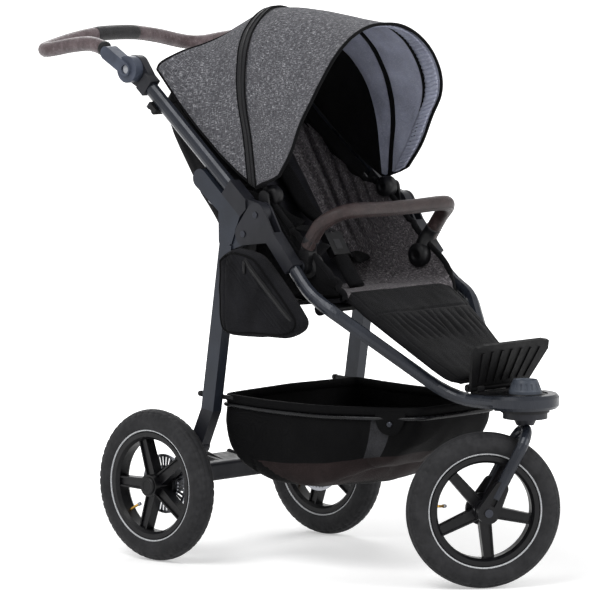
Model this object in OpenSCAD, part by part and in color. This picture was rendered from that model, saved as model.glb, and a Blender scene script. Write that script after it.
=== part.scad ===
// Three-wheel baby stroller with air tyres, a swivelling front wheel, a folding push bar,
// an opening canopy, a reclining seat and a fabric basket.
// Millimetres, +Z up, the stroller faces -Y, the child's right hand is on the -X side.

/* [Wheels] */
// Outside diameter of the three tyres
tyre_d = 303; // [292:1:312]
// Width of a tyre
tyre_w = 50; // [44:1:52]
// Middle of a side tube out to the middle of a rear tyre
wheel_out = 40; // [37:1:55]
// Rear axle to the swivel axis of the front wheel
wheelbase = 757; // [735:1:780]
// Front axle behind the swivel axis
trail = 82; // [74:1:88]
// Angle at which the front wheel stands turned
swivel_turn = 54; // [0:1:80]
// Spokes of a wheel
spoke_count = 5; // [3:1:7]
// Diameter of the wheel axles
axle_d = 10; // [8:1:12]

/* [Frame] */
// Width of the frame tubes across the stroller
tube_w = 22; // [18:1:24]
// Depth of the push tubes
tube_h = 30; // [26:1:34]
// Depth of the front tubes
front_h = 24; // [21:1:26]
// Middle of the stroller to the middle of a side tube
half_frame = 205; // [203:1:207]
// Half the distance between the parallel front tubes
half_nose = 66; // [64:1:69]
// Height of the middle of the front hoop
hoop_z = 360; // [356:1:364]
// Height of the fold pivot
fold_z = 702; // [690:1:712]
// Fold pivot ahead of the rear axle
fold_ahead = 249; // [240:1:256]
// Fold pivot to handle pivot, along the push tube
push_len = 438; // [420:1:460]
// Slope of the push tubes
push_angle = 40; // [37:1:43]
// Diameter of the pivot pins
pin_d = 8; // [6:1:9]

/* [Handle] */
// Diameter of the leather covered bar
grip_d = 29; // [26:1:32]
// Handle pivot to the cross bar, measured level
grip_reach = 266; // [250:1:280]
// Middle of a side tube out to the middle of a handle arm
arm_out = 17; // [13:1:19]
// Diameter of the handle hinge discs
hinge_d = 56; // [50:1:60]

/* [Seat] */
// Middle of a side tube in to the edge of the seat pad
seat_in = 55; // [52:1:65]
// Length of the backrest
back_len = 400; // [380:1:410]
// Backrest angle from vertical
back_lean = 34; // [30:1:36]
// Length of the calf rest
calf_len = 262; // [240:1:266]

/* [Canopy] */
// Middle of a side tube in to the side of the canopy
canopy_in = 20; // [19:1:22]
// Thickness of the canopy fabric and padding
canopy_wall = 3; // [2:0.5:4]
// Lean of the front bow, forward of vertical
front_bow_lean = 26; // [22:1:28]
// Height of the front bow above its pivot
front_bow_r = 368; // [360:1:374]
// Height of the middle and rear bows above their pivot
rear_bow_r = 390; // [386:1:396]

/* [Basket] */
// Height of the basket rim
basket_z = 322; // [316:1:328]
// Middle of a side tube in to the side of the basket
basket_in = 23; // [21:1:29]
// Thickness of the basket fabric
basket_wall = 3; // [2:0.5:4]

/* [Hidden] */
$fn = 64;

// Clearances
fit = 0.05;
gap = 0.3;
play = 0.8;

// Widths that go with the side tubes
half_track = half_frame + wheel_out;
half_handle = half_frame + arm_out;
seat_w = 2 * (half_frame - seat_in);
canopy_half = half_frame - canopy_in;
basket_half = half_frame - basket_in;
wide = 2 * half_frame;

// Wheel sizes
tyre_r = tyre_d / 2;
tyre_side = tyre_w / 2;
carcass = 5;
bead_r = tyre_r - 50;
rim_half = tyre_side - 6;
rim_wall = 9;
hub_r = 22;
hub_out = tyre_side - 1;
hub_in = tyre_side;
cap_r = 18;
cap_h = 4;
spoke_half = 11;
front_spoke_turn = 42;
rear_spoke_turn = 90;
axle_r = axle_d / 2;

// Brake ring: radial slots that the lock pins drop into
ring_r = 59.5;
ring_t = 3;
slot_count = 36;
slot_in = 37;
slot_out = 54;
slot_w = 4.4;
brake_pin_r = 1.9;
brake_pin_at = (slot_in + slot_out) / 2;
brake_pin_travel = 7;

// Main places. The whole length is centred on the origin.
swivel_front = tube_w / 2 + half_nose - 15;
tube_drop = 13;
grip_r = grip_d / 2;
push_run = push_len * cos(push_angle) + tube_drop * sin(push_angle);
front_reach = wheelbase + swivel_front;
rear_reach = push_run - fold_ahead + grip_reach + grip_r;
axle_y = (front_reach - rear_reach) / 2;
swivel_y = axle_y - wheelbase;
fold_p = [axle_y - fold_ahead, fold_z];
leg_p = fold_p + [33, -39];
push_u = [cos(push_angle), sin(push_angle)];
push_n = [-sin(push_angle), cos(push_angle)];
handle_p = fold_p + push_len * push_u - tube_drop * push_n;
hoop_y = swivel_y + 15;

// Layers across the stroller, measured from its middle on each side
layer_in = half_frame - 13.5;
layer_out = half_frame + 13.5;
cheek = 4.5;
tongue_in = layer_in + cheek + gap;
tongue_out = layer_out - cheek - gap;
pin_r = pin_d / 2;
boss_r = 24;
leg_boss_r = 22;

// ---------- helpers ----------

function unit(v) = v / norm(v);
function mid(a, b) = (a + b) / 2;
// One corner of a path as a smooth curve that starts and ends at distance d from it
function corner(a, c, b, d, n = 5) =
    let (p = c + d * unit(a - c), q = c + d * unit(b - c))
    [for (i = [0:n]) let (t = i / n) (1 - t) * (1 - t) * p + 2 * t * (1 - t) * c + t * t * q];
// A path of straight runs with rounded corners
function soft_path(pts, d, n = 5) =
    [pts[0], for (i = [1:len(pts) - 2]) each corner(pts[i - 1], pts[i], pts[i + 1], d, n),
     pts[len(pts) - 1]];
// Sections for swept tubes, given as points around a centre
function round_section(r, n = 16) = [for (i = [0:n - 1]) r * [cos(i * 360 / n), sin(i * 360 / n)]];
// A deep tube whose flanks meet in a ridge, with small chamfers
function ridge_section(w, h) =
    let (x = w / 2, y = h / 2, e = w / 7)
    [[x, e], [x - 2, y - 5], [x - 6, y], [6 - x, y], [2 - x, y - 5], [-x, e],
     [-x, -e], [2 - x, 5 - y], [6 - x, -y], [x - 6, -y], [x - 2, 5 - y], [x, -e]];
function tangent(p, i) =
    let (n = len(p) - 1) unit(i == 0 ? p[1] - p[0] : i == n ? p[n] - p[n - 1]
        : unit(p[i + 1] - p[i]) + unit(p[i] - p[i - 1]));

// Section swept along a path. The section's second axis stays as close to "up" as it can.
module sweep(path, section, up = [0, 0, 1]) {
    n = len(section);
    m = len(path);
    points = [for (i = [0:m - 1])
        let (t = tangent(path, i), s = unit(cross(t, up)), u = cross(s, t))
        for (q = section) path[i] + q[0] * s + q[1] * u];
    sides = [for (i = [0:m - 2], j = [0:n - 1])
        let (k = (j + 1) % n) each [
            [i * n + j, i * n + k, (i + 1) * n + k],
            [i * n + j, (i + 1) * n + k, (i + 1) * n + j]]];
    polyhedron(points, concat([[for (j = [n - 1:-1:0]) j]], sides, [[for (j = [0:n - 1]) (m - 1) * n + j]]));
}

// A flat outline in (y, z), given thickness across the stroller from x to x + w
module side(x, w) {
    translate([x, 0, 0]) rotate([90, 0, 90]) linear_extrude(w) children();
}
// A round bar or hole across the stroller
module cross_pin(p, r, x, w) {
    translate([x, p[0], p[1]]) rotate([0, 90, 0]) cylinder(r = r, h = w);
}
// Two circles joined by their outer tangents
module strap(p, r, q, s) {
    d = norm(q - p);
    a = atan2(q[1] - p[1], q[0] - p[0]);
    b = acos((r - s) / d);
    translate(p) circle(r);
    translate(q) circle(s);
    polygon([p + r * [cos(a + b), sin(a + b)], q + s * [cos(a + b), sin(a + b)],
             q + s * [cos(a - b), sin(a - b)], p + r * [cos(a - b), sin(a - b)]]);
}
// The same piece on both sides, drawn for the +X side
module both() {
    children();
    mirror([1, 0, 0]) children();
}
// Place of a point given along and above the push tube's line through the fold pivot
function on_push(a, b) = fold_p + a * push_u + b * push_n;

// Seat: points along and above the seat board, and along and in front of the backrest
seat_hinge = [fold_p[0] + 62, fold_p[1] - 178];
seat_front = [fold_p[0] - 172, fold_p[1] - 152];
back_u = [sin(back_lean), cos(back_lean)];
back_n = [-cos(back_lean), sin(back_lean)];
seat_u = unit(seat_front - seat_hinge);
seat_n = [seat_u[1], -seat_u[0]];
seat_len = norm(seat_front - seat_hinge);
function on_seat(a, b) = seat_hinge + a * seat_u + b * seat_n;
function on_back(a, b) = seat_hinge + a * back_u + b * back_n;

// ---------- wheels, drawn with the axle along Z and the outer side up ----------

module tyre() {
    rotate_extrude($fn = 96) difference() {
        union() {
            translate([tyre_r - tyre_side, 0]) circle(tyre_side);
            translate([bead_r, -rim_half + 3.2]) square([14, 2 * rim_half - 6.4]);
        }
        translate([tyre_r - tyre_side, 0]) circle(tyre_side - carcass);
        translate([bead_r - 1, -rim_half + 8]) square([18, 2 * rim_half - 16]);
        for (x = [-9, 9]) translate([tyre_r - 2.2, x - 1.5]) square([5, 3]);
    }
}

module spoke() {
    start = hub_r - 8;
    end = bead_r - rim_wall + 3;
    linear_extrude(2 * spoke_half - 8, center = true)
        polygon([[start, -11.5], [end, -9.5], [end, 9.5], [start, 11.5]]);
    for (s = [-1, 1])
        linear_extrude(2 * spoke_half, center = true)
            polygon([[start, s * 12], [end, s * 10], [end, s * 7], [start, s * 9]]);
}

module rim(turn) {
    difference() {
        union() {
            rotate_extrude($fn = 96) polygon([
                [bead_r - rim_wall, -12], [bead_r - 4, -rim_half], [bead_r + 5, -rim_half],
                [bead_r + 5, -rim_half + 3], [bead_r - 0.2, -rim_half + 3],
                [bead_r - 0.2, rim_half - 3], [bead_r + 5, rim_half - 3],
                [bead_r + 5, rim_half], [bead_r - 4, rim_half], [bead_r - rim_wall, 12]]);
            translate([0, 0, -hub_in]) cylinder(r = hub_r, h = hub_in + hub_out);
            translate([0, 0, ring_t + gap - hub_in]) cylinder(r = hub_r + 9, h = 8);
            for (i = [0:spoke_count - 1]) rotate(turn + i * 360 / spoke_count) spoke();
        }
        translate([0, 0, -hub_in - 1]) cylinder(r = axle_r + fit, h = hub_in + hub_out + 2);
    }
}

module hub_cap(bore = 0) {
    translate([0, 0, hub_out]) rotate_extrude()
        polygon([[bore, 0], [cap_r, 0], [cap_r, cap_h - 2], [cap_r - 2, cap_h], [cap_r - 6, cap_h],
                 [cap_r - 8, cap_h - 1], [bore, cap_h - 1]]);
}

module brake_ring() {
    translate([0, 0, gap - hub_in]) difference() {
        cylinder(r = ring_r, h = ring_t, $fn = 96);
        translate([0, 0, -1]) cylinder(r = hub_r + fit, h = ring_t + 2);
        for (i = [0:slot_count - 1]) rotate(brake_turn + i * 360 / slot_count)
            translate([slot_in, -slot_w / 2, -1]) cube([slot_out - slot_in, slot_w, ring_t + 2]);
    }
}

module at_rear_wheel() {
    translate([-half_track, axle_y, tyre_r]) rotate([0, -90, 0]) children();
}
module at_front_wheel() {
    translate([0, swivel_y, 0]) rotate(swivel_turn) translate([0, trail, tyre_r])
        rotate([0, -90, 0]) children();
}
module left() {
    mirror([1, 0, 0]) children();
}

module front_tyre() { color("#2b2b2d") at_front_wheel() tyre(); }
module front_rim() { color("#1c1c1e") at_front_wheel() rim(front_spoke_turn); }
module front_cap() { color("#101012") at_front_wheel() hub_cap(axle_r + fit); }
module rear_tyre_right() { color("#2b2b2d") at_rear_wheel() tyre(); }
module rear_rim_right() { color("#1c1c1e") at_rear_wheel() rim(rear_spoke_turn); }
module rear_cap_right() { color("#101012") at_rear_wheel() hub_cap(); }
module brake_ring_right() { color("silver") at_rear_wheel() brake_ring(); }
module rear_tyre_left() { color("#2b2b2d") left() at_rear_wheel() tyre(); }
module rear_rim_left() { color("#1c1c1e") left() at_rear_wheel() rim(rear_spoke_turn); }
module rear_cap_left() { color("#101012") left() at_rear_wheel() hub_cap(); }
module brake_ring_left() { color("silver") left() at_rear_wheel() brake_ring(); }

// ---------- fork, drawn straight ahead with the swivel axis at the origin ----------

fork_half = tyre_side + 16;
fork_r = 11;
fork_top = tyre_r + sqrt(tyre_r * tyre_r - trail * trail) + 27;
fork_run = unit([0, trail, tyre_r - fork_top]);
disc_r = 47;
disc_z = hoop_z - 33;
disc_h = 12;
stem_r = 9;
stem_top = hoop_z + front_h / 2;

module at_fork() {
    translate([0, swivel_y, 0]) rotate(swivel_turn) children();
}

// Inverted U of round tube over the tyre
module fork_tube() {
    top = [0, 0, fork_top];
    drop = norm([trail, fork_top - tyre_r]) - 30;
    bend = fork_half - 2;
    color("#23252b") at_fork() sweep(concat(
        [top + [-fork_half, 0, 0] + drop * fork_run],
        [for (a = [180:-15:0]) top + [fork_half * cos(a), 0, 0] + bend * (1 - sin(a)) * fork_run],
        [top + [fork_half, 0, 0] + drop * fork_run]),
        round_section(fork_r), cross(fork_run, [1, 0, 0]));
}

// Crown block, bearing disc and stem
module fork_crown() {
    z = fork_top + fork_r - 3;
    color("#1b1b1e") at_fork() {
        difference() {
            translate([0, 0, z]) cylinder(r1 = 17, r2 = 24, h = disc_z + 2 - z);
            translate([0, 0, fork_top]) rotate([0, 90, 0]) cylinder(r = fork_r, h = 60, center = true);
        }
        translate([0, 0, disc_z]) cylinder(r = disc_r - 4, h = disc_h - gap);
        translate([0, 0, disc_z]) cylinder(r = stem_r, h = stem_top - disc_z);
    }
}

// Plastic ends that carry the axle, each with a window
module fork_ends() {
    hub = [trail, tyre_r];
    run = [fork_run[1], fork_run[2]];
    top = hub - 52 * run;
    color("#141416") at_fork() both() difference() {
        side(fork_half - 9, 18) strap(hub, 21, top, 14);
        cross_pin(hub, axle_r, 0, 100);
        translate([fork_half, hub[0], hub[1]]) rotate([atan2(trail, fork_top - tyre_r), 0, 0])
            translate([0, 0, 30]) cylinder(r = fork_r, h = 60);
        side(fork_half + 3, 10) translate(mid(hub, top)) rotate(atan2(-run[1], -run[0]))
            square([22, 9], center = true);
    }
}

module front_axle() {
    color("silver") at_fork() {
        cross_pin([trail, tyre_r], axle_r, -fork_half - 9, 2 * fork_half + 18);
        both() cross_pin([trail, tyre_r], 8, fork_half + 9, 3);
    }
}

// ---------- chassis ----------

// Side tube path on the +X side, from the mouth of the fold bracket down to the nose
mouth = [-91, -101];
tube_top = [half_frame, fold_p[0] + mouth[0], fold_p[1] + mouth[1]];
seat_edge = 8;
bumper_p = [tube_top[1] - 2, tube_top[2] + 4];
bumper_in = seat_w / 2 + seat_edge + 6 + gap;
bumper_out = half_frame - tube_w / 2 - 6;
bumper_half = (bumper_in + bumper_out) / 2;
tube_path = [
    tube_top,
    tube_top + [0, 0.46 * mouth[0], 0.46 * mouth[1]],
    [half_frame, fold_p[0] - 188, fold_p[1] - 175],
    [half_nose, hoop_y + 110, hoop_z],
    [half_nose, hoop_y, hoop_z]];

// Point of the tubes' converging run at a given y
function on_run(y) = let (p = tube_path[2], q = tube_path[3]) p + (y - p[1]) / (q[1] - p[1]) * (q - p);

module front_tubes() {
    color("#3d424d") both() sweep(
        concat([tube_path[0]], corner(tube_path[0], tube_path[1], tube_path[2], 30, 3),
            corner(tube_path[1], tube_path[2], tube_path[3], 28, 4),
            corner(tube_path[2], tube_path[3], tube_path[4], 60, 5), [tube_path[4]]),
        ridge_section(tube_w, front_h));
}

// Half ring at the nose that joins the two side tubes
hoop_h = front_h + 4;
module front_hoop() {
    h = hoop_h;
    color("#3d424d") translate([0, hoop_y, hoop_z]) rotate(180)
        rotate_extrude(angle = 180, $fn = 96)
            polygon([[half_nose - tube_w / 2, -h / 2 + 3], [half_nose - tube_w / 2, h / 2],
                     [half_nose + tube_w / 2 - 5, h / 2], [half_nose + tube_w / 2, h / 2 - 6],
                     [half_nose + tube_w / 2, -h / 2 + 6], [half_nose + tube_w / 2 - 5, -h / 2],
                     [half_nose - tube_w / 2 + 3, -h / 2]]);
}

// Casting inside the hoop that holds the swivel bearing and the lock knob
plinth_r = half_nose - tube_w / 2 - 16.5;
plinth_h = 3;
module front_housing() {
    inner = half_nose - tube_w / 2;
    low = hoop_z - hoop_h / 2;
    high = hoop_z + front_h / 2;
    color("#34363d") difference() {
        union() {
            translate([0, hoop_y, low]) difference() {
                cylinder(r = inner - fit, h = high - low, $fn = 96);
                translate([-100, 14, -1]) cube([200, 100, high - low + 2]);
            }
            translate([-inner, hoop_y, low]) cube([2 * inner, 72, high - low]);
            translate([0, swivel_y, high]) cylinder(r1 = plinth_r, r2 = plinth_r - 2, h = plinth_h);
            translate([0, swivel_y, disc_z + disc_h]) cylinder(r = disc_r, h = low - disc_z - disc_h);
        }
        translate([0, swivel_y, 0]) cylinder(r = stem_r + fit, h = high + 1);
        for (x = [-1, 1]) translate([x * 34, hoop_y + 36, hoop_z]) cylinder(r = 11, h = front_h);
    }
}

knob_z = hoop_z + front_h / 2 + plinth_h + gap;

// Knob that locks the swivel: a waisted cap with finger grooves
module swivel_knob() {
    color("#5c6472") translate([0, swivel_y, knob_z]) difference() {
        rotate_extrude() polygon([[0, 0], [32, 0], [32, 5], [30.5, 8], [25.5, 22], [23, 26.5], [19, 26.5],
                                  [18, 24], [0, 24]]);
        for (i = [0:15]) rotate(i * 22.5) translate([31.5, 0, 8.5]) rotate([0, -20, 0]) cylinder(r = 2.4, h = 12);
    }
}

// Cheeks and tube socket at the fold, with a slot for the push tube's and the rear leg's tongues
socket_axis = unit([tube_top[1], tube_top[2]] - fold_p);
socket_start = fold_p + 52 * socket_axis;
socket_end = [tube_top[1], tube_top[2]];
socket_r = front_h / 2 + 2;

module bracket_outline() {
    strap(fold_p, boss_r, leg_p, leg_boss_r);
    strap(fold_p, boss_r, socket_start, socket_r);
    strap(leg_p, leg_boss_r, socket_start, socket_r);
}

module fold_brackets() {
    color("#2f3239") both() difference() {
        union() {
            side(layer_in, layer_out - layer_in) bracket_outline();
            side(layer_in, layer_out - layer_in) translate(socket_start)
                rotate(atan2(socket_axis[1], socket_axis[0]))
                    translate([0, -socket_r]) square([norm(socket_end - socket_start), 2 * socket_r]);
            cross_pin(bumper_p, 12, bumper_out + gap, layer_in - bumper_out - gap + 1);
            cross_pin(bumper_p, pin_r, bumper_in + 2, layer_in - bumper_in - 1);
        }
        side(layer_in + cheek, layer_out - layer_in - 2 * cheek) {
            translate(fold_p) circle(57);
            strap(fold_p, boss_r + 3, leg_p, leg_boss_r + 6);
            strap(fold_p, boss_r + 3, fold_p - 60 * push_n, boss_r + 3);
            translate(fold_p) rotate(push_angle) translate([-10, -60]) square([80, 100]);
        }
        cross_pin(fold_p, pin_r, layer_in - 5, 50);
        cross_pin(leg_p, pin_r, layer_in - 5, 50);
    }
}

module fold_pins() {
    color("silver") both() {
        cross_pin(fold_p, pin_r, layer_in, layer_out - layer_in);
        cross_pin(leg_p, pin_r, layer_in, layer_out - layer_in);
        for (p = [fold_p, leg_p]) cross_pin(p, 6.5, layer_out, 2);
    }
}

// Round tubes that tie the two sides together: one under the seat's front edge, and the
// backrest's hinge tube. Plates carry them from the side tubes and the fold brackets.
under_r = 9;
under_p = on_seat(seat_len - 26, -12 - under_r);
plate_t = 5;
module cross_tubes() {
    tube_at = [under_p[0], tube_path[1][2] - 4];
    plate_out = half_frame - tube_w / 2;
    color("#23252b") {
        cross_pin(under_p, under_r, -plate_out + 1, 2 * plate_out - 2);
        cross_pin(seat_hinge, hinge_tube_r, -layer_in + gap + 1, 2 * (layer_in - gap - 1));
        both() {
            side(plate_out - plate_t, plate_t) strap(under_p, under_r + 4, tube_at, 5);
            side(layer_in - gap - plate_t, plate_t) strap(seat_hinge, hinge_tube_r + 9, leg_p, 14);
            cross_pin(leg_p, 12, layer_in - gap - 1, gap + 1);
        }
    }
}

// Plates and pins that carry the canopy from the fold brackets
module canopy_mounts() {
    color("#141416") both() difference() {
        union() {
            side(layer_in - gap - plate_t, plate_t) strap(fold_p, 13, canopy_p, 12);
            cross_pin(fold_p, 12, layer_in - gap - 1, gap + 1);
            cross_pin(canopy_p, pin_r, canopy_half - canopy_shy - canopy_wall - 8,
                layer_in - gap - 1 - canopy_half + canopy_shy + canopy_wall + 8);
        }
        cross_pin(fold_p, pin_r, 0, wide);
    }
}

// ---------- push frame ----------

push_from = 94;
fold_max = 150;
module push_tubes() {
    a = on_push(push_from, -tube_drop);
    b = on_push(push_len - 58, -tube_drop);
    color("#4a505d") both() sweep([[half_frame, a[0], a[1]], [half_frame, b[0], b[1]]],
        ridge_section(tube_w, tube_h - 2), [0, push_n[0], push_n[1]]);
}

module push_outline() {
    translate(fold_p) rotate(push_angle) translate([0, -31]) square([push_from, 36]);
}

module push_sockets() {
    color("#34363d") both() difference() {
        union() {
            difference() {
                side(layer_in, layer_out - layer_in) push_outline();
                side(0, wide) strap(fold_p, boss_r + 1.5, leg_p, leg_boss_r + 8);
                side(0, wide) translate(fold_p) rotate(-fold_max) strap([0, 0], boss_r + 1, socket_start - fold_p, 19);
            }
            side(tongue_in, tongue_out - tongue_in) strap(fold_p, boss_r - 1, on_push(40, -tube_drop), 15);
        }
        cross_pin(fold_p, pin_r + fit, 0, wide);
    }
}

// Lower halves of the handle hinges, which end in a disc on the inner side
hinge_r = hinge_d / 2;
hinge_mid = half_frame + 6;
module handle_bases() {
    color("#34363d") both() difference() {
        union() {
            side(half_frame - 13, 18) strap(handle_p, hinge_r, on_push(push_len - 38, -tube_drop), 19);
            side(half_frame - 13, 26) translate(fold_p) rotate(push_angle)
                translate([push_len - 58, -tube_drop - 19]) square([24, 38]);
        }
        cross_pin(handle_p, button_r + 2, 0, wide);
    }
}

button_r = 8.5;
slider_p = on_push(push_len - 92, -tube_drop - tube_h / 2 - 6);
module fold_slider() {
    color("#101012") translate([half_frame, slider_p[0], slider_p[1]]) rotate([push_angle, 0, 0])
        difference() {
            translate([-13, -12, -7]) cube([26, 24, 13]);
            translate([-14, -4, -10]) cube([28, 8, 5]);
        }
}
module fold_slider_left() { fold_slider(); }
module fold_slider_right() { left() fold_slider(); }

// ---------- handle ----------

grip_mid_rise = 59;
grip_end_rise = 31;
arm_end = handle_p + [68, 38];
arm_r = 13.5;
arm_u = unit(arm_end - handle_p);

module handle_discs() {
    color("#4a505d") both() difference() {
        union() {
            side(half_frame + 5 + gap, 20) circle_at(handle_p, hinge_r - 1);
            side(half_handle - 14, 28) strap(handle_p, 13, arm_end - (arm_r + 1.5) * arm_u, arm_r);
        }
        cross_pin(handle_p, button_r + 1, half_frame + 9, 60);
        side(0, half_frame + 5 + gap) strap(handle_p, hinge_r + 2, handle_p - 80 * push_u, hinge_r);
    }
}
module circle_at(p, r) {
    translate(p) circle(r);
}

module handle_grip() {
    z = handle_p[1];
    y = handle_p[0];
    end = [half_handle, y + grip_reach - 20, z + grip_end_rise];
    pts = [
        [half_handle, arm_end[0], arm_end[1]],
        [half_handle, y + 118, z + 52],
        end + [0, 0, 0],
        [half_handle - 40, y + grip_reach, z + grip_end_rise + 4],
        [0, y + grip_reach, z + grip_mid_rise]];
    mirrored = [for (i = [len(pts) - 2:-1:0]) [-pts[i][0], pts[i][1], pts[i][2]]];
    color("#8a7573") sweep(soft_path(concat(pts, mirrored), 19, 4), round_section(grip_r));
}

module handle_button() {
    color("#a9adb8") cross_pin(handle_p, button_r, half_frame + 12.5, 14);
}
module handle_button_left() { handle_button(); }
module handle_button_right() { left() handle_button(); }

// ---------- rear frame ----------

leg_w = 24;
leg_d = 33;
leg_low = [axle_y - 114, tyre_r + 157];
leg_high = [leg_p[0] + 50, leg_p[1] - 23];
leg_axis = unit(leg_low - leg_high);
leg_side = [-leg_axis[1], leg_axis[0]];

module leg_outline() {
    polygon([leg_low - leg_d / 2 * leg_side, leg_low + leg_d / 2 * leg_side,
             leg_high + leg_d / 2 * leg_side, leg_high - leg_d / 2 * leg_side]);
    strap(leg_high + [2, 8], leg_d / 2, on_push(72, -48), 16);
    strap(on_push(72, -48), 16, on_push(158, -50), 19);
    polygon([leg_high + [-16, 0], on_push(30, -32), on_push(80, -32), leg_high + [16, 10]]);
}

module rear_legs() {
    color("#2e333d") both() difference() {
        union() {
            difference() {
                side(half_frame - leg_w / 2, leg_w) leg_outline();
                side(half_frame - 40, 80) {
                    strap(fold_p, boss_r + 2, leg_p, leg_boss_r + 2);
                    strap(leg_p, leg_boss_r + 2, socket_start, 20);
                }
            }
            side(tongue_in, tongue_out - tongue_in) strap(leg_p, leg_boss_r - 2, leg_high, 14);
        }
        cross_pin(leg_p, pin_r + fit, 0, wide);
        at_lock() translate([0, 0, -11]) cylinder(r = lock_r + gap, h = 40);
    }
}

lock_p = on_push(112, -64);
lock_r = 8;
module at_lock() {
    both() translate([half_frame, lock_p[0], lock_p[1]]) rotate([push_angle - 180, 0, 0]) children();
}
// Buttons on the rear edge of the castings that free the fold
module lock_buttons() {
    color("#a9adb8") at_lock() translate([0, 0, -7]) cylinder(r = lock_r, h = 14);
}

// Castings that carry the rear axle, below the leg tubes
bracket_in = half_frame - leg_w / 2;
bracket_out = half_frame + leg_w / 2;
axle_p = [axle_y, tyre_r];
knee = [axle_y - 82, tyre_r + 84];
brake_turn = atan2(knee[0] - axle_y, knee[1] - tyre_r);
module rear_brackets() {
    color("#17181b") both() difference() {
        side(bracket_in, leg_w) {
            polygon([leg_low - leg_d / 2 * leg_side, leg_low + leg_d / 2 * leg_side,
                     knee + [17, 6], knee + [-16, 0]]);
            strap(knee, 17, axle_p, 24);
        }
        cross_pin(axle_p, axle_r, 0, wide);
        cross_pin(brake_pin_p, brake_pin_r + fit, 0, wide);
    }
}

beam_h = 38;
beam_d = 30;
beam_p = [axle_y, tyre_r + 12];
module rear_beam() {
    color("#1b1c20") translate([-bracket_in, beam_p[0], beam_p[1]]) rotate([90, 0, 90])
        linear_extrude(2 * bracket_in) {
            square([beam_d, beam_h - 16], center = true);
            square([beam_d - 16, beam_h], center = true);
            for (x = [-1, 1], y = [-1, 1]) translate([x * (beam_d / 2 - 8), y * (beam_h / 2 - 8)]) circle(8);
        }
    for (x = [-60, 52]) color("#1b1c20") difference() {
        side(x, 8) strap(pedal_p, 9, pedal_p - [16, 0], 9);
        cross_pin(pedal_p, pedal_r + fit, -200, 400);
        side(x - 1, 10) translate([pedal_p[0] - 59, pedal_p[1] - 50]) square([42, 100]);
    }
}

module rear_axles() {
    color("silver") both() cross_pin(axle_p, axle_r, bracket_in, half_track + hub_out - bracket_in - 1);
}

// Lock pins slide out of the brackets into the slots of the brake rings
brake_pin_p = axle_p + brake_pin_at * unit(knee - axle_p);
module brake_pin() {
    color("silver") cross_pin(brake_pin_p, brake_pin_r, bracket_in - 14, leg_w + 14.5);
}
module brake_pin_left() { brake_pin(); }
module brake_pin_right() { left() brake_pin(); }

// Foot pedal on a shaft behind the beam
pedal_r = 5;
pedal_p = [axle_y + beam_d / 2 + 9, tyre_r + 20];
module brake_pedal() {
    color("#1b1c20") {
        side(-45, 90) strap(pedal_p, 8, pedal_p + [44, 10], 5);
        both() side(30, 3) strap(pedal_p, 8, pedal_p + [44, 13], 7);
        cross_pin(pedal_p, pedal_r, -64, 128);
    }
}

// ---------- seat ----------

hinge_tube_r = 8;
calf_rod = 4;
calf_p = seat_front + [-8, -10];

// Board under the seat, resting on the cross tube, with the rod that the calf rest hangs on
module seat_pan() {
    color("#17181b") {
        side(-seat_w / 2 - seat_edge, seat_w + 2 * seat_edge)
            polygon([on_seat(18, -12), on_seat(seat_len - 4, -12), on_seat(seat_len - 4, -4), on_seat(18, -4)]);
        for (x = [-140, -6, 128]) side(x, 12) strap(calf_p, 7, on_seat(seat_len - 8, -8), 4);
        cross_pin(calf_p, calf_rod, -140, 280);
    }
}

module seat_pad() {
    color("#4a4a4d") side(-seat_w / 2, seat_w)
        polygon([on_seat(42, -4), on_seat(seat_len - 6, -4), on_seat(seat_len + 2, 4),
                 on_seat(seat_len - 4, 18), on_seat(seat_len - 30, 24), on_seat(70, 20), on_seat(42, 12)]);
}

module seat_sides() {
    color("#1d1e21") both() difference() {
        side(seat_w / 2 + seat_edge, 6) polygon([
            on_seat(-10, -14), on_seat(seat_len - 10, -12), on_seat(seat_len - 20, 20),
            fold_p + [-60, -60], fold_p + [10, 6], fold_p + [36, -60]]);
        cross_pin(seat_hinge, hinge_tube_r, 0, wide);
    }
}

module crotch_strap() {
    color("#141416") side(-16, 32) polygon([
        on_seat(118, 21.6), on_seat(122, 21.8), on_seat(96, 73), on_seat(92, 72)]);
}

buckle_turn = -33;
buckle_c = on_seat(82, 97.5);
module at_buckle() {
    translate([0, buckle_c[0], buckle_c[1]]) rotate([buckle_turn, 0, 0]) children();
}
module buckle() {
    color("#101012") at_buckle() difference() {
        cube([46, 15, 50], center = true);
        translate([0, -6, -2]) cube([18 + 2 * fit, 20, 22 + 2 * fit], center = true);
    }
}
module buckle_button() {
    color("#8d1f22") at_buckle() translate([0, -3.5, -2]) cube([18, 9, 22], center = true);
}

// Shell of the backrest with its side wings, on the hinge tube
module backrest() {
    w = seat_w / 2 + 5;
    color("#1d1e21") difference() {
        union() {
            side(-w, 2 * w) {
                polygon([on_back(2, -14), on_back(back_len, -14), on_back(back_len + 4, -7),
                         on_back(back_len, 0), on_back(2, 0)]);
                translate(seat_hinge) circle(hinge_tube_r + 6);
            }
            both() side(w - 7, 7) polygon([
                on_back(56, -1), on_back(60, 30), on_back(110, 84), on_back(200, 112),
                on_back(back_len - 60, 112), on_back(back_len - 14, 80), on_back(back_len, -1)]);
        }
        cross_pin(seat_hinge, hinge_tube_r + fit, -wide, 2 * wide);
    }
}

module backrest_pad() {
    color("#4a4a4d") side(-seat_w / 2 + 4, seat_w - 8)
        polygon([on_back(34, 0), on_back(back_len - 6, 0), on_back(back_len - 2, 10), on_back(back_len - 12, 22),
                 on_back(back_len - 60, 26), on_back(60, 26), on_back(38, 18)]);
}

module harness() {
    color("#1a1a1c") both() {
        side(28, 38) polygon([on_back(150, 26), on_back(310, 26), on_back(310, 31), on_back(240, 36),
                              on_back(150, 34)]);
    }
}

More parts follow.
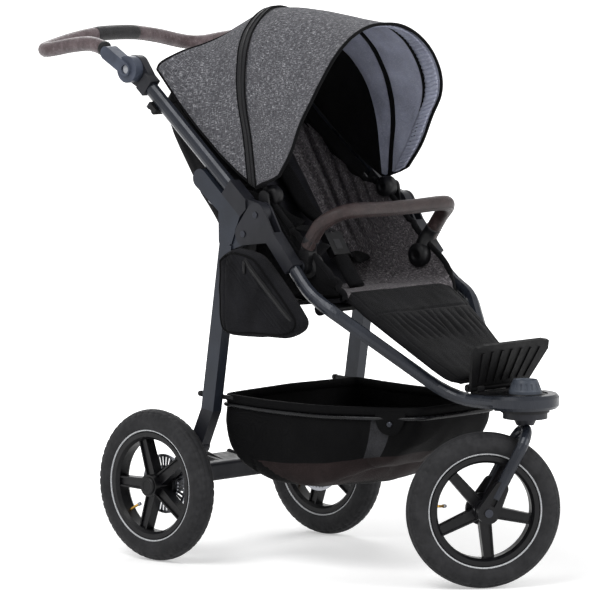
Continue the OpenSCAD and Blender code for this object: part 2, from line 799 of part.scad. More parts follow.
module calf_rest() {
    u = unit([swivel_y + 100, hoop_z + 36] - calf_p);
    top = seat_w / 2;
    low = half_nose + 29;
    color("#1a1b1e") difference() {
        union() {
            translate([0, calf_p[0], calf_p[1]]) rotate([atan2(u[1], u[0]) - 180, 0, 0])
                rotate([0, 0, 180]) linear_extrude(14)
                    polygon([[-top, 4], [top, 4], [top, 60], [low, calf_len - 12], [low - 14, calf_len],
                             [14 - low, calf_len], [-low, calf_len - 12], [-top, 60]]);
            for (x = [-127, 7]) cross_pin(calf_p, 7, x, 120);
        }
        cross_pin(calf_p, calf_rod + fit, -wide, 2 * wide);
        for (x = [-149, -7, 127]) cross_pin(calf_p, 9, x, x == -7 ? 14 : 22);
    }
}

// ---------- footrest ----------

foot_p = [hoop_y + 62, hoop_z + front_h / 2 + 13];
foot_h = 98;
foot_lug = 60;
foot_lean = 24;
module footrest_bracket() {
    color("#101012") {
        translate([-foot_lug, foot_p[0] - 10, hoop_z + front_h / 2]) cube([2 * foot_lug, 20, 4]);
        for (x = [-foot_lug, foot_lug - 20]) difference() {
            side(x, 20) strap(foot_p, 8, foot_p - [0, 5], 8);
            cross_pin(foot_p, 4 + fit, -100, 200);
        }
    }
}

module footplate() {
    top = half_nose + 44;
    low = half_nose + 18;
    color("#161618") translate([0, foot_p[0], foot_p[1]]) {
        rotate([90 + foot_lean, 0, 0]) translate([0, 0, 3]) linear_extrude(7)
            polygon([[-low, 10], [low, 10], [top, foot_h - 22], [top - 6, foot_h - 4], [top - 26, foot_h],
                     [26 - top, foot_h], [6 - top, foot_h - 4], [-top, foot_h - 22]]);
        for (i = [-3:3]) rotate([90 + foot_lean, 0, 0]) translate([i * 22, 18, 9]) rotate(-5 * i)
            translate([-3, 0, 0]) cube([6, foot_h - 32, 3.5]);
        for (x = [-80, -39, 61]) rotate([90 + foot_lean, 0, 0]) translate([x, 4, 3.4]) cube([x == -39 ? 78 : 19, 10, 4]);
        for (x = [-80, -39, 61]) translate([x, 0, 0]) rotate([0, 90, 0]) cylinder(r = 8, h = x < 0 && x > -50 ? 78 : 19);
        rotate([0, 90, 0]) cylinder(r = 4, h = 166, center = true);
    }
}

// ---------- bumper bar ----------

bumper_neck = bumper_p + [-7, 24];
bumper_neck_r = 13.5;
bumper_bend = bumper_p + [-38, 80];
module bumper_joints() {
    color("#101012") both() difference() {
        union() {
            cross_pin(bumper_p, 17, bumper_in, bumper_out - bumper_in);
            side(bumper_half - 10, 20) strap(bumper_p, 14, bumper_neck, bumper_neck_r);
        }
        cross_pin(bumper_p, pin_r + fit, 0, wide);
    }
}
module bumper_grip() {
    a = bumper_neck + (bumper_neck_r + fit) * unit(bumper_bend - bumper_neck);
    b = bumper_bend;
    c = bumper_p + [-84, 110];
    pts = [[bumper_half, a[0], a[1]], [bumper_half, b[0], b[1]], [bumper_half - 36, c[0], c[1]], [0, c[0] - 2, c[1] - 2]];
    mirrored = [for (i = [len(pts) - 2:-1:0]) [-pts[i][0], pts[i][1], pts[i][2]]];
    color("#4b3c3b") sweep(soft_path(concat(pts, mirrored), 27, 5), round_section(12), [0, 1, 0]);
}

// ---------- canopy ----------

canopy_p = fold_p + [5, 34];
canopy_shy = canopy_wall + 3;
mid_bow_lean = -23;
rear_bow_lean = -50;
rear_cut = 18;
roof_sag = 20;
// Half outline of an arch, as (x, height above the pivot). It is squarer as "square" goes from 0 to 1.
function arch(half, height, low, square, n = 9) =
    let (p = 2.1 + 1.2 * square, rise = (0.46 + 0.3 * square) * height)
    [[half, low], for (i = [0:n]) let (a = 90 * i / n)
        [half * pow(cos(a), 2 / p), rise + (height - rise) * pow(sin(a), 2 / p)]];
function full_arch(half, height, low, square) =
    let (a = arch(half, height, low, square)) concat(a, [for (i = [len(a) - 2:-1:0]) [-a[i][0], a[i][1]]]);
// Arch points in space, at a lean about the canopy pivot, that leans less by "cut" at its middle
function bow(half, height, low, lean, square = 0, cut = 0) =
    [for (q = full_arch(half, height, low, square))
        let (a = lean + cut * (1 - pow(q[0] / half, 2)))
        [q[0], canopy_p[0] - q[1] * sin(a), canopy_p[1] + q[1] * cos(a)]];

// Sheet between bows: an outer and an inner skin joined at their edges
module canopy_sheet(outer, inner) {
    rows = len(outer);
    n = len(outer[0]);
    m = rows * n;
    points = [for (b = outer, q = b) q, for (b = inner, q = b) q];
    skin = [for (i = [0:rows - 2], j = [0:n - 2]) each [
        [i * n + j, i * n + j + 1, (i + 1) * n + j + 1], [i * n + j, (i + 1) * n + j + 1, (i + 1) * n + j]]];
    back = [for (f = skin) [f[2] + m, f[1] + m, f[0] + m]];
    ends = [for (i = [0, rows - 1], j = [0:n - 2])
        let (a = i * n + j, b = a + 1, flip = i == 0)
        each flip ? [[a, a + m, b + m], [a, b + m, b]] : [[a, b, b + m], [a, b + m, a + m]]];
    hems = [for (j = [0, n - 1], i = [0:rows - 2])
        let (a = i * n + j, b = a + n, flip = j == 0)
        each flip ? [[a, b, b + m], [a, b + m, a + m]] : [[b, a, a + m], [b, a + m, b + m]]];
    polyhedron(points, concat(skin, back, ends, hems));
}

// Rear section, fixed: its lower edges run along the push tubes
module canopy_rear() {
    n = 4;
    function skin(in) = [for (i = [0:n]) let (t = i / n)
        bow(canopy_half - in, rear_bow_r - in, 16, rear_bow_lean + t * (mid_bow_lean - rear_bow_lean), pow(1 - t, 2),
            rear_cut * (1 - t))];
    color("#6d6d70") canopy_sheet(skin(0), skin(canopy_wall));
}
// Front section, which folds back inside the rear one
module canopy_front() {
    n = 9;
    from = mid_bow_lean - 3;
    function skin(in) = [for (i = [0:n]) let (t = i / n)
        bow(canopy_half - in, rear_bow_r - in - (rear_bow_r - front_bow_r - canopy_shy) * t - roof_sag * sin(180 * t),
            26,
            from + t * (front_bow_lean - from))];
    color("#6d6d70") canopy_sheet(skin(canopy_shy), skin(canopy_shy + canopy_wall));
}
// Front bow under the hem, with eyes on the pivot pins
module canopy_bow() {
    shy = canopy_shy + canopy_wall + 3.5;
    color("#101012") {
        sweep(bow(canopy_half - shy, front_bow_r - shy + canopy_shy - 3, 8, front_bow_lean - 1), round_section(3, 8),
            [0, cos(front_bow_lean), sin(front_bow_lean)]);
        both() difference() {
            side(canopy_half - shy - 3, 6) strap(canopy_p, 9, canopy_p + [-6, 13], 5);
            cross_pin(canopy_p, pin_r + fit, 0, wide);
        }
    }
}

// ---------- basket ----------

basket_back = axle_y - 142;
basket_front = hoop_y + 168;
basket_nose = half_nose + 46;
module basket_outline() {
    polygon([
        [basket_back, basket_z], [basket_back - 34, basket_z - 84], [basket_back - 124, basket_z - 156],
        [basket_back - 270, basket_z - 130], [basket_front + 4, basket_z - 30], [basket_front, basket_z]]);
}
module basket_plan(inset) {
    polygon([
        [-basket_half + inset, basket_back + 10], [-basket_half + inset, basket_back - 250],
        [-basket_nose + inset, basket_front - 10 + inset], [basket_nose - inset, basket_front - 10 + inset],
        [basket_half - inset, basket_back - 250], [basket_half - inset, basket_back + 10]]);
}
module basket() {
    color("#161618") difference() {
        intersection() {
            side(-basket_half, 2 * basket_half) basket_outline();
            translate([0, 0, basket_z - 200]) linear_extrude(220) basket_plan(0);
        }
        intersection() {
            side(-basket_half, 2 * basket_half) translate([0, basket_wall]) basket_outline();
            translate([0, basket_wall / 2, basket_z - 200]) linear_extrude(220) intersection() {
                basket_plan(basket_wall);
                translate([-wide, basket_front + basket_wall]) square([2 * wide, basket_back - basket_front - 3 * basket_wall]);
            }
        }
    }
}
// Wire rim of the basket. Its rear ends turn up to the hinge plates, and hooks hold its front.
wire_r = 5;
module basket_rails() {
    z = basket_z + wire_r + gap;
    x = layer_in - gap - plate_t - wire_r;
    front = [basket_nose - 6, basket_front - 6, z];
    top = on_run(front[1] + 3) - [0, 0, front_h / 2 + 5.5];
    half = [
        [x, seat_hinge[0] + 14, seat_hinge[1] + 2],
        [x, basket_back - 4, z],
        [basket_half - 4, basket_back - 250, z],
        front];
    mirrored = [for (i = [len(half) - 1:-1:0]) [-half[i][0], half[i][1], half[i][2]]];
    color("#101012") {
        sweep(soft_path(concat(half, mirrored), 16, 3), round_section(wire_r, 10));
        both() hull() {
            translate([top[0] - 2, front[1] + 3, z]) cylinder(r = 3, h = 1, $fn = 24);
            translate(top) cylinder(r = 3, h = 1, $fn = 24);
        }
    }
}

// ---------- pockets ----------

module side_pockets() {
    color("#1d1e21") both() side(layer_out, 38) polygon([
        fold_p + [66, -78], fold_p + [40, -70], fold_p + [-30, -78], fold_p + [-108, -150],
        fold_p + [-146, -196], fold_p + [-140, -214], fold_p + [-112, -226], fold_p + [52, -232], fold_p + [63, -216]]);
}

front_tubes();
front_hoop();
front_housing();
fold_brackets();
fold_pins();
cross_tubes();
seat_pan();
seat_pad();
seat_sides();
crotch_strap();
buckle();
buckle_button();
basket();
basket_rails();
side_pockets();
canopy_mounts();
canopy_rear();
canopy_front();
canopy_bow();
swivel_knob();
footrest_bracket();
footplate();
calf_rest();
fork_crown();
fork_tube();
fork_ends();
front_axle();
front_tyre();
front_rim();
front_cap();
rear_legs();
lock_buttons();
rear_brackets();
rear_beam();
rear_axles();
rear_tyre_right();
rear_rim_right();
brake_ring_right();
rear_cap_right();
rear_tyre_left();
rear_rim_left();
brake_ring_left();
rear_cap_left();
brake_pedal();
brake_pin_right();
brake_pin_left();
push_tubes();
push_sockets();
handle_bases();
fold_slider_right();
fold_slider_left();
handle_discs();
handle_grip();
handle_button_right();
handle_button_left();
bumper_grip();
bumper_joints();
backrest();
backrest_pad();
harness();
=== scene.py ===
import bpy
import math
import numpy as np
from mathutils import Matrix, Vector, noise


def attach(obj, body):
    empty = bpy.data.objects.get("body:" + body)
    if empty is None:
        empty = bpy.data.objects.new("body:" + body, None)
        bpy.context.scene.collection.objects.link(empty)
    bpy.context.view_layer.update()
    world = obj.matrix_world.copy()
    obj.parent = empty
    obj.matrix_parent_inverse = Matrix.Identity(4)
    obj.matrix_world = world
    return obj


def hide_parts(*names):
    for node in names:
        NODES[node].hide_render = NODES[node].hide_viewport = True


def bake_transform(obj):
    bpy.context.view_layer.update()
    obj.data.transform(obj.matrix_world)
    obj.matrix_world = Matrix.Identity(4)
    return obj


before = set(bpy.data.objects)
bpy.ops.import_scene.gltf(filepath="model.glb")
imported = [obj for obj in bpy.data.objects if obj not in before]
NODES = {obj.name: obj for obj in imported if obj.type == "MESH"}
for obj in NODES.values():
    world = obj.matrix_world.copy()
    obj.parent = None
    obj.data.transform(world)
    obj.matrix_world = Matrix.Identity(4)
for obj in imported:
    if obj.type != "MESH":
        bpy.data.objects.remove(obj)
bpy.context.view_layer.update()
SIDES = ((-1, "right"), (1, "left"))


def middle(name):
    """Middle of a CAD node's box."""
    corners = [NODES[name].matrix_world @ Vector(c) for c in NODES[name].bound_box]
    return [(min(q) + max(q)) / 2 for q in zip(*corners)]


# Tables below were laid out with the rear axle at this y. DY moves them to where the frame has it.
AXLE_Y = 0.2328
DY = middle("rear_tyre_right")[1] - AXLE_Y


# ---------- camera ----------

AZ, EL = math.radians(-47.1), math.radians(5.9)
DISTANCE = 9.6695
AIM = Vector((0, -0.095 + DY, 0.5))
back = Vector((math.sin(AZ) * math.cos(EL), -math.cos(AZ) * math.cos(EL), math.sin(EL)))
cam_data = bpy.data.cameras.new("camera")
cam = bpy.data.objects.new("camera", cam_data)
bpy.context.scene.collection.objects.link(cam)
cam.location = AIM + DISTANCE * back
cam.rotation_euler = (-back).to_track_quat("-Z", "Y").to_euler()
cam_data.lens = 294.1
cam_data.sensor_width = 36
cam_data.shift_x = -0.102
cam_data.shift_y = 0.021
cam_data.clip_end = 60
bpy.context.scene.camera = cam
bpy.context.scene.view_settings.view_transform = "Standard"


# ---------- materials ----------

def linear(c):
    """A colour of three numbers from 0 to 255, as Blender's linear values."""
    return tuple(v / 12.92 if v <= 0.04045 else ((v + 0.055) / 1.055) ** 2.4 for v in (q / 255 for q in c)) + (1.0,)


def feed(tree, socket, value):
    """Gives a socket a number, a colour or another node's output."""
    if isinstance(value, bpy.types.NodeSocket):
        tree.links.new(value, socket)
    else:
        socket.default_value = value


def node(tree, kind, inputs=(), **settings):
    """A new shader node. inputs pairs sockets with values."""
    new = tree.nodes.new("ShaderNode" + kind)
    for k, v in settings.items():
        setattr(new, k, v)
    for k, v in dict(inputs).items():
        feed(tree, new.inputs[k], v)
    return new


class Mat:
    """A node material. Heights are summed in metres and go through one bump node."""

    def __init__(self, name, rough, metal=0.0, sheen=0.0, coat=0.0, coat_rough=0.2, spec=0.5):
        self.m = bpy.data.materials.new(name)
        self.m.use_nodes = True
        self.t = self.m.node_tree
        for socket, value in (("Roughness", rough), ("Metallic", metal), ("Sheen Weight", sheen), ("Coat Weight", coat),
                              ("Coat Roughness", coat_rough), ("Specular IOR Level", spec)):
            self.set(socket, value)
        self.coord = node(self.t, "TexCoord")
        self.heights = []

    def set(self, socket, value):
        """Feeds a socket of the shader itself."""
        feed(self.t, self.t.nodes["Principled BSDF"].inputs[socket], value)

    def texture(self, kind, out, uv, stretch, inputs, **settings):
        """A texture node on UV or object coordinates, stretched along its axes."""
        place = node(self.t, "Mapping", {"Vector": self.coord.outputs["UV" if uv else "Object"], "Scale": stretch})
        return node(self.t, "Tex" + kind, {"Vector": place.outputs["Vector"], **inputs}, **settings).outputs[out]

    def noise(self, scale, detail=2.0, rough=0.5, stretch=(1, 1, 1), uv=False):
        return self.texture("Noise", "Fac", uv, stretch, {"Scale": scale, "Detail": detail, "Roughness": rough})

    def cells(self, scale, feature="F1"):
        return self.texture("Voronoi", "Distance", False, (1, 1, 1), {"Scale": scale}, feature=feature)

    def wave(self, scale, axis, uv):
        return self.texture("Wave", "Fac", uv, (1, 1, 1), {"Scale": scale, "Detail": 1.0}, bands_direction=axis)

    def math(self, op, a, b, clamp=False):
        return node(self.t, "Math", {0: a, 1: b}, operation=op, use_clamp=clamp).outputs[0]

    def times(self, a, b):
        return self.math("MULTIPLY", a, b)

    def add(self, a, b, clamp=False):
        return self.math("ADD", a, b, clamp)

    def ramp(self, value, a, b, lo=0.0, hi=1.0):
        """value from a to b, remapped to lo..hi, clamped."""
        sockets = {"Value": value, "From Min": a, "From Max": b, "To Min": lo, "To Max": hi}
        return node(self.t, "MapRange", sockets, clamp=True).outputs["Result"]

    def mix(self, share, a, b):
        """Blend of two colours, each a socket or three numbers from 0 to 255."""
        a, b = (c if isinstance(c, bpy.types.NodeSocket) else linear(c) for c in (a, b))
        return node(self.t, "Mix", {0: share, 6: a, 7: b}, data_type="RGBA").outputs[2]

    def colour(self, value):
        self.set("Base Color", value)

    def rough(self, value, base, less, more, a=0.3, b=0.7):
        """Roughness from base - less to base + more, as value goes from a to b."""
        self.set("Roughness", self.ramp(value, a, b, base - less, base + more))

    def height(self, value, metres):
        """Adds a relief of value times metres."""
        self.heights.append(self.times(value, metres))

    def done(self, strength=1.0):
        """Sums the heights into one bump and gives the material."""
        total = self.heights[0]
        for h in self.heights[1:]:
            total = self.add(total, h)
        bump = node(self.t, "Bump", {"Strength": strength, "Distance": 1.0, "Height": total})
        self.set("Normal", bump.outputs["Normal"])
        return self.m


def painted(name, dark, light, rough, coat=0.05, flake=0.5):
    """Powder-coated metal: fine orange peel, faint flakes, scuffed roughness."""
    m = Mat(name, rough, 0.15, coat=coat, coat_rough=0.25, spec=0.28)
    cloud = m.ramp(m.noise(14, 3), 0.35, 0.65)
    fleck = m.ramp(m.noise(1500, 1), 0.45, 0.75)
    m.colour(m.mix(m.add(m.times(cloud, 0.5), m.times(fleck, flake)), dark, light))
    m.rough(m.noise(60, 4, stretch=(1, 1, 0.3)), rough, 0.06, 0.08)
    m.height(m.noise(700, 2), 0.00003)
    m.height(m.noise(160, 1), 0.00004)
    return m.done()


def moulded(name, dark, light, rough, grain=0.00006, scale=900, spec=0.22):
    """Moulded plastic with a fine spark-eroded grain and slight wear."""
    m = Mat(name, rough, spec=spec)
    m.colour(m.mix(m.ramp(m.noise(22, 4), 0.35, 0.7), dark, light))
    m.rough(m.noise(90, 3), rough, 0.07, 0.08)
    m.height(m.cells(scale), grain)
    m.height(m.noise(250, 2), grain * 0.7)
    return m.done()


def rubber(name, dark, light):
    """Matt rubber with dust in patches."""
    rough = 0.7
    m = Mat(name, rough, spec=0.25)
    m.colour(m.mix(m.ramp(m.noise(35, 5, 0.6), 0.4, 0.75), dark, light))
    m.rough(m.noise(120, 3), rough, 0.08, 0.08)
    m.height(m.noise(900, 3), 0.00008)
    return m.done()


def leather(name, dark, mid, light, rough):
    """Grained leather: pebbles from two cell patterns, pores, rubbed lighter patches, and painted shade in the grain's
    creases.
    """
    m = Mat(name, rough, sheen=0.02, coat=0.06, coat_rough=0.3, spec=0.3)
    cells = m.cells(420, "DISTANCE_TO_EDGE")
    crease = m.ramp(cells, 0.0, 0.16)
    base = m.mix(m.ramp(m.noise(45, 3), 0.35, 0.68), dark, mid)
    base = m.mix(m.times(m.ramp(m.noise(130, 3), 0.5, 0.8), 0.5), base, light)
    # Painted shade: the grain's creases are darkened towards 0.62 of the dark tone.
    m.colour(m.mix(m.times(m.math("SUBTRACT", 1.0, crease), 0.55), base, [c * 0.62 for c in dark]))
    m.rough(cells, rough, -0.18, -0.04, 0.0, 0.3)
    m.height(crease, 0.00022)
    m.height(m.ramp(m.cells(900, "DISTANCE_TO_EDGE"), 0.0, 0.2), 0.00008)
    m.height(m.noise(40, 2), 0.0006)
    return m.done()


def melange(name, dark, mid, light, scale, contrast):
    """Heather cloth: yarns of mixed greys, short pale slubs both ways, plain weave relief."""
    m = Mat(name, 0.9, sheen=0.08, spec=0.1)
    warp, weft = (m.noise(700 * scale, 2, 0.6, along, True) for along in ((1, 0.22, 1), (0.22, 1, 1)))
    blot = m.noise(70 * scale, 3, 0.6, (1, 0.5, 1), True)
    both = m.add(m.times(warp, 0.55), m.times(weft, 0.45))
    base = m.mix(m.ramp(both, 0.36, 0.56), dark, mid)
    pale = m.add(m.ramp(warp, 0.58, 0.70, 0, 0.85 * contrast), m.ramp(weft, 0.60, 0.72, 0, 0.7 * contrast), True)
    m.colour(m.mix(m.ramp(blot, 0.42, 0.68, 0, 0.35), m.mix(pale, base, light), dark))
    m.height(m.times(m.wave(420 * scale, "X", True), m.wave(420 * scale, "Y", True)), 0.00030)
    m.height(both, 0.00035)
    return m.done(0.8)


def cloth(name, dark, light, rough=0.85, sheen=0.024, weave=520, crease=0.0):
    """Plain synthetic cloth: close weave, soft shade changes, faint creases."""
    m = Mat(name, rough, sheen=sheen, spec=0.06)
    base = m.mix(m.ramp(m.noise(16, 4, 0.6), 0.35, 0.7), dark, light)
    thread = m.noise(900, 1, 0.5, (1, 0.3, 1))
    m.colour(m.mix(m.ramp(thread, 0.5, 0.75, 0, 0.35), base, [min(255, c * 1.35 + 6) for c in light]))
    m.height(m.times(m.wave(weave, "X", False), m.wave(weave, "Z", False)), 0.00022)
    if crease:
        m.height(m.noise(28, 3, 0.55, (1, 1, 0.5)), crease)
    return m.done(0.8)


def webbing(name, dark, light):
    """Ribbed strap weave: fine cross ribs with a herringbone slant."""
    m = Mat(name, 0.75, sheen=0.04, spec=0.2)
    rib, slant = m.wave(330, "Y", True), m.wave(300, "DIAGONAL", True)
    m.colour(m.mix(m.times(m.add(rib, slant), 0.5), dark, light))
    m.height(rib, 0.00035)
    m.height(slant, 0.0002)
    return m.done()


def metal(name, dark, light, rough=0.32):
    """Bare metal with a fine grain."""
    m = Mat(name, rough, 1.0)
    grain = m.noise(900, 2)
    m.colour(m.mix(grain, dark, light))
    m.rough(grain, rough, 0.08, 0.1)
    m.height(grain, 0.00003)
    return m.done()


def reflective(name):
    """Pale glass-bead strip."""
    m = Mat(name, 0.35, spec=0.7)
    m.colour(m.mix(m.ramp(m.noise(500, 2), 0.3, 0.7), (150, 152, 155), (206, 208, 211)))
    m.height(m.cells(1600), 0.00005)
    return m.done()


PAINT = painted("frame_paint", (28, 31, 38), (43, 47, 56), 0.28)
PAINT_LEG = painted("leg_paint", (32, 36, 44), (46, 51, 62), 0.36)
CAST = painted("casting", (24, 25, 30), (36, 37, 44), 0.48, coat=0.03, flake=0.3)
CAST_BLUE = moulded("casting_blue", (58, 63, 75), (80, 86, 100), 0.42)
BLACK = moulded("black_plastic", (9, 9, 11), (19, 19, 22), 0.46)
WIRE = moulded("rim_wire", (12, 12, 14), (24, 25, 28), 0.28, 0.00002)
GLOSS = moulded("rim_plastic", (9, 9, 11), (17, 17, 20), 0.34, 0.00003)
RIBBED = moulded("foot_plastic", (9, 9, 10), (18, 18, 19), 0.5, 0.00012, 600, 0.12)
KNOB = moulded("knob_plastic", (62, 67, 76), (84, 90, 100), 0.42)
PALE = moulded("light_plastic", (150, 152, 158), (186, 188, 193), 0.4)
BUTTON = moulded("button_dark", (30, 30, 32), (46, 46, 49), 0.4)
TYRE = rubber("tyre_rubber", (30, 30, 32), (46, 46, 48))
REFLECT = reflective("reflective_ring")
TAUPE = leather("leather_taupe", (78, 63, 65), (112, 97, 100), (156, 144, 148), 0.30)
BROWN = leather("leather_brown", (36, 23, 23), (52, 37, 36), (84, 68, 68), 0.33)
GRIP_BLACK = leather("leather_black", (26, 25, 27), (40, 38, 41), (60, 58, 62), 0.45)
HEATHER = melange("melange_fabric", (58, 58, 62), (104, 104, 109), (184, 184, 188), scale=0.72, contrast=1.1)
HEATHER_SEAT = melange("seat_fabric", (54, 51, 54), (102, 98, 101), (176, 171, 173), scale=0.75, contrast=0.9)
CANVAS = cloth("black_fabric", (9, 9, 10), (18, 18, 20))
CANVAS_CALF = cloth("calf_fabric", (9, 9, 10), (20, 20, 22), 0.58)
CANVAS_BACK = cloth("back_fabric", (22, 22, 25), (40, 40, 45), 0.75)
CANVAS_BASKET = cloth("basket_fabric", (3, 3, 4), (7, 7, 8), 0.62, 0.0)
CANVAS_BROWN = cloth("basket_panel", (27, 21, 21), (42, 34, 34), 0.6, 0.006)
CANVAS_GREY = cloth("pocket_fabric", (18, 18, 20), (31, 31, 34))
LINING = cloth("lining_fabric", (158, 162, 182), (194, 199, 220), 0.7, crease=0.0012)
MESH = cloth("mesh_patch", (34, 34, 36), (58, 58, 61), 0.8, weave=260)
TAPE = webbing("zip_tape", (26, 26, 28), (42, 42, 45))
TAPE_DARK = webbing("pocket_zip_tape", (10, 10, 11), (22, 22, 24))
WEB = webbing("webbing", (13, 13, 15), (27, 27, 30))
THREAD_DARK = webbing("thread_dark", (44, 36, 36), (66, 56, 56))
STEEL_DARK = metal("dark_steel", (40, 41, 46), (66, 68, 74), 0.3)
STEEL = metal("steel", (120, 122, 128), (176, 178, 184))
BRASS = metal("brass", (150, 112, 48), (206, 164, 84))

LOOK = {
    PAINT: "front_tubes front_hoop push_tubes fork_tube",
    PAINT_LEG: "rear_legs",
    CAST: "fold_brackets push_sockets handle_bases rear_brackets fork_crown rear_beam",
    CAST_BLUE: "handle_discs",
    BLACK: "front_housing cross_tubes seat_pan canopy_mounts footrest_bracket fork_ends bumper_joints"
           " fold_slider_right fold_slider_left brake_pedal buckle front_cap rear_cap_right rear_cap_left",
    GLOSS: "front_rim rear_rim_right rear_rim_left",
    RIBBED: "footplate",
    KNOB: "swivel_knob",
    PALE: "handle_button_right handle_button_left lock_buttons",
    BUTTON: "buckle_button",
    STEEL_DARK: "fold_pins front_axle rear_axles",
    STEEL: "brake_ring_right brake_ring_left brake_pin_right brake_pin_left",
}
for material, names in LOOK.items():
    for name in names.split():
        NODES[name].data.materials.clear()
        NODES[name].data.materials.append(material)


# ---------- mesh helpers ----------

def at(*p):
    """Points of the tables, in millimetres, as metres in the frame."""
    P = np.array(p if len(p) > 1 else p[0], float) / 1000
    P[..., 1] += DY
    return P


def mirrored(rows):
    """Rows of half points from the middle down, as whole rows from the +X edge to the -X edge."""
    R = np.array(rows, float)
    return at(np.concatenate([R[:, ::-1], R[:, 1:] * (-1, 1, 1)], 1))


def bell(x, mid, width):
    """Smooth bump of height 1 at mid."""
    return np.exp(-((x - mid) / width) ** 2)


def unit(V):
    """Vectors scaled to length 1."""
    return V / np.linalg.norm(V, axis=-1, keepdims=True)


def run(P):
    """Distance along a path at each of its points."""
    return np.concatenate([[0], np.cumsum(np.linalg.norm(np.diff(P, axis=0), axis=1))])


def wobble(*p):
    """Smooth noise at a point, about -1 to 1."""
    return noise.noise(Vector(p))


def along_rows(P):
    """Distance of each grid point from the first row."""
    d = np.linalg.norm(np.diff(P, axis=0), axis=2)
    return np.concatenate([np.zeros((1, P.shape[1])), np.cumsum(d, axis=0)])


def along_cols(P):
    """Distance of each grid point from the first column."""
    return along_rows(np.swapaxes(P, 0, 1)).T


def rings(n, k, closed=False, base=0):
    """Faces between n rings of k points, with end caps unless the last ring joins the first."""
    F = [tuple(base + q for q in (i * k + j, i * k + (j + 1) % k, (i + 1) % n * k + (j + 1) % k, (i + 1) % n * k + j))
         for i in range(n if closed else n - 1) for j in range(k)]
    if not closed:
        F += [tuple(base + j for j in range(k - 1, -1, -1)), tuple(base + (n - 1) * k + j for j in range(k))]
    return F


def border(P):
    """Grid's first column, last row and last column, as one line."""
    return np.concatenate([P[:, 0], P[-1, 1:-1], P[::-1, -1]])


def loop(Q, cols, fine=24):
    """Smooth closed line through the points of Q, as cols points."""
    C = np.concatenate([Q[-3:], Q, Q[:3]])
    dense = catmull(C, (len(C) - 1) * fine + 1)[3 * fine:(3 + len(Q)) * fine]
    return dense[np.linspace(0, len(dense), cols, endpoint=False).astype(int)]


def piece(name, verts, faces, mats, body=None, uv=None, face_mat=None, flat=False):
    """A mesh object from points in metres. Faces may name one of several materials."""
    mesh = bpy.data.meshes.new(name)
    mesh.from_pydata([tuple(v) for v in verts], [], [tuple(f) for f in faces])
    mats = mats if isinstance(mats, (list, tuple)) else [mats]
    for m in mats:
        mesh.materials.append(m)
    if face_mat is not None:
        mesh.polygons.foreach_set("material_index", face_mat)
    if uv is not None:
        layer = mesh.uv_layers.new(name="UVMap")
        idx = np.empty(len(mesh.loops), np.int32)
        mesh.loops.foreach_get("vertex_index", idx)
        layer.data.foreach_set("uv", np.asarray(uv, float)[idx].ravel())
    mesh.validate()
    if not flat:
        mesh.shade_smooth()
    mesh.update()
    obj = bpy.data.objects.new(name, mesh)
    bpy.context.scene.collection.objects.link(obj)
    if body:
        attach(obj, body)
    return obj


def catmull(P, n):
    """Dense smooth curve through the rows of P, n samples in all."""
    P = np.asarray(P, float)
    k = len(P) - 1
    Q = np.concatenate([[2 * P[0] - P[1]], P, [2 * P[-1] - P[-2]]])
    t = np.linspace(0, k, n)
    i = np.minimum(t.astype(int), k - 1)
    f = (t - i).reshape((-1,) + (1,) * (P.ndim - 1))
    a, b, c, d = Q[i], Q[i + 1], Q[i + 2], Q[i + 3]
    return 0.5 * (2 * b + (c - a) * f + (2 * a - 5 * b + 4 * c - d) * f ** 2 + (3 * b - a - 3 * c + d) * f ** 3)


def surface(ctrl, rows, cols):
    """Control grid (r, c, 3) to a dense grid (rows, cols, 3)."""
    P = catmull(ctrl, rows)
    return np.swapaxes(catmull(np.swapaxes(P, 0, 1), cols), 0, 1)


def normals(P, wrap=False):
    """Unit normals of a grid. With wrap its last column joins the first."""
    du = np.gradient(P, axis=0)
    dv = (np.roll(P, -1, 1) - np.roll(P, 1, 1)) / 2 if wrap else np.gradient(P, axis=1)
    N = np.cross(du, dv)
    return N / np.maximum(np.linalg.norm(N, axis=2, keepdims=True), 1e-12)


def outward(P, centre):
    """Normals of a wrapped grid, turned away from centre."""
    N = normals(P, wrap=True)
    return -N if (N * (P - centre)).sum() < 0 else N


def lengths(P):
    """UV in metres along rows and columns."""
    a = np.concatenate([[0], np.cumsum(np.linalg.norm(np.diff(P, axis=0), axis=2).mean(1))])
    b = along_cols(P)
    b = b - b.mean(1, keepdims=True)
    return np.stack([b, np.repeat(a[:, None], P.shape[1], 1)], 2)


def shell(name, P, thick, mats, body=None, wrap=False, side_mat=None):
    """Closed thin sheet: grid P is its outer skin, its lining lies thick metres inward.
    mats are outer, inner, edge and more for side_mat(i, j) to choose from, or one for all."""
    mats = mats if isinstance(mats, list) else [mats] * 3
    R, C = P.shape[:2]
    N = normals(P, wrap)
    depth = np.reshape(thick, np.shape(thick) + (1,) * (3 - np.ndim(thick)))
    V = np.concatenate([P.reshape(-1, 3), (P - N * depth).reshape(-1, 3)])
    uv = lengths(P).reshape(-1, 2)
    uv = np.concatenate([uv, uv])
    m = R * C
    faces, fm = [], []
    for i in range(R - 1):
        for j in range(C if wrap else C - 1):
            k = (j + 1) % C
            a, b, c, d = i * C + j, i * C + k, (i + 1) * C + k, (i + 1) * C + j
            faces.append((a, d, c, b))
            fm.append(0 if side_mat is None else side_mat(i, j))
            faces.append((a + m, b + m, c + m, d + m))
            fm.append(1)
    if wrap:
        rims = [list(range(C)), [(R - 1) * C + j for j in range(C - 1, -1, -1)]]
    else:
        rims = [[j for j in range(C)] + [i * C + C - 1 for i in range(1, R)] +
                [(R - 1) * C + j for j in range(C - 2, -1, -1)] + [i * C for i in range(R - 2, 0, -1)]]
    for ring in rims:
        for k in range(len(ring)):
            a, b = ring[k], ring[(k + 1) % len(ring)]
            faces.append((a, b, b + m, a + m))
            fm.append(2)
    return piece(name, V, faces, mats, body, uv, fm)


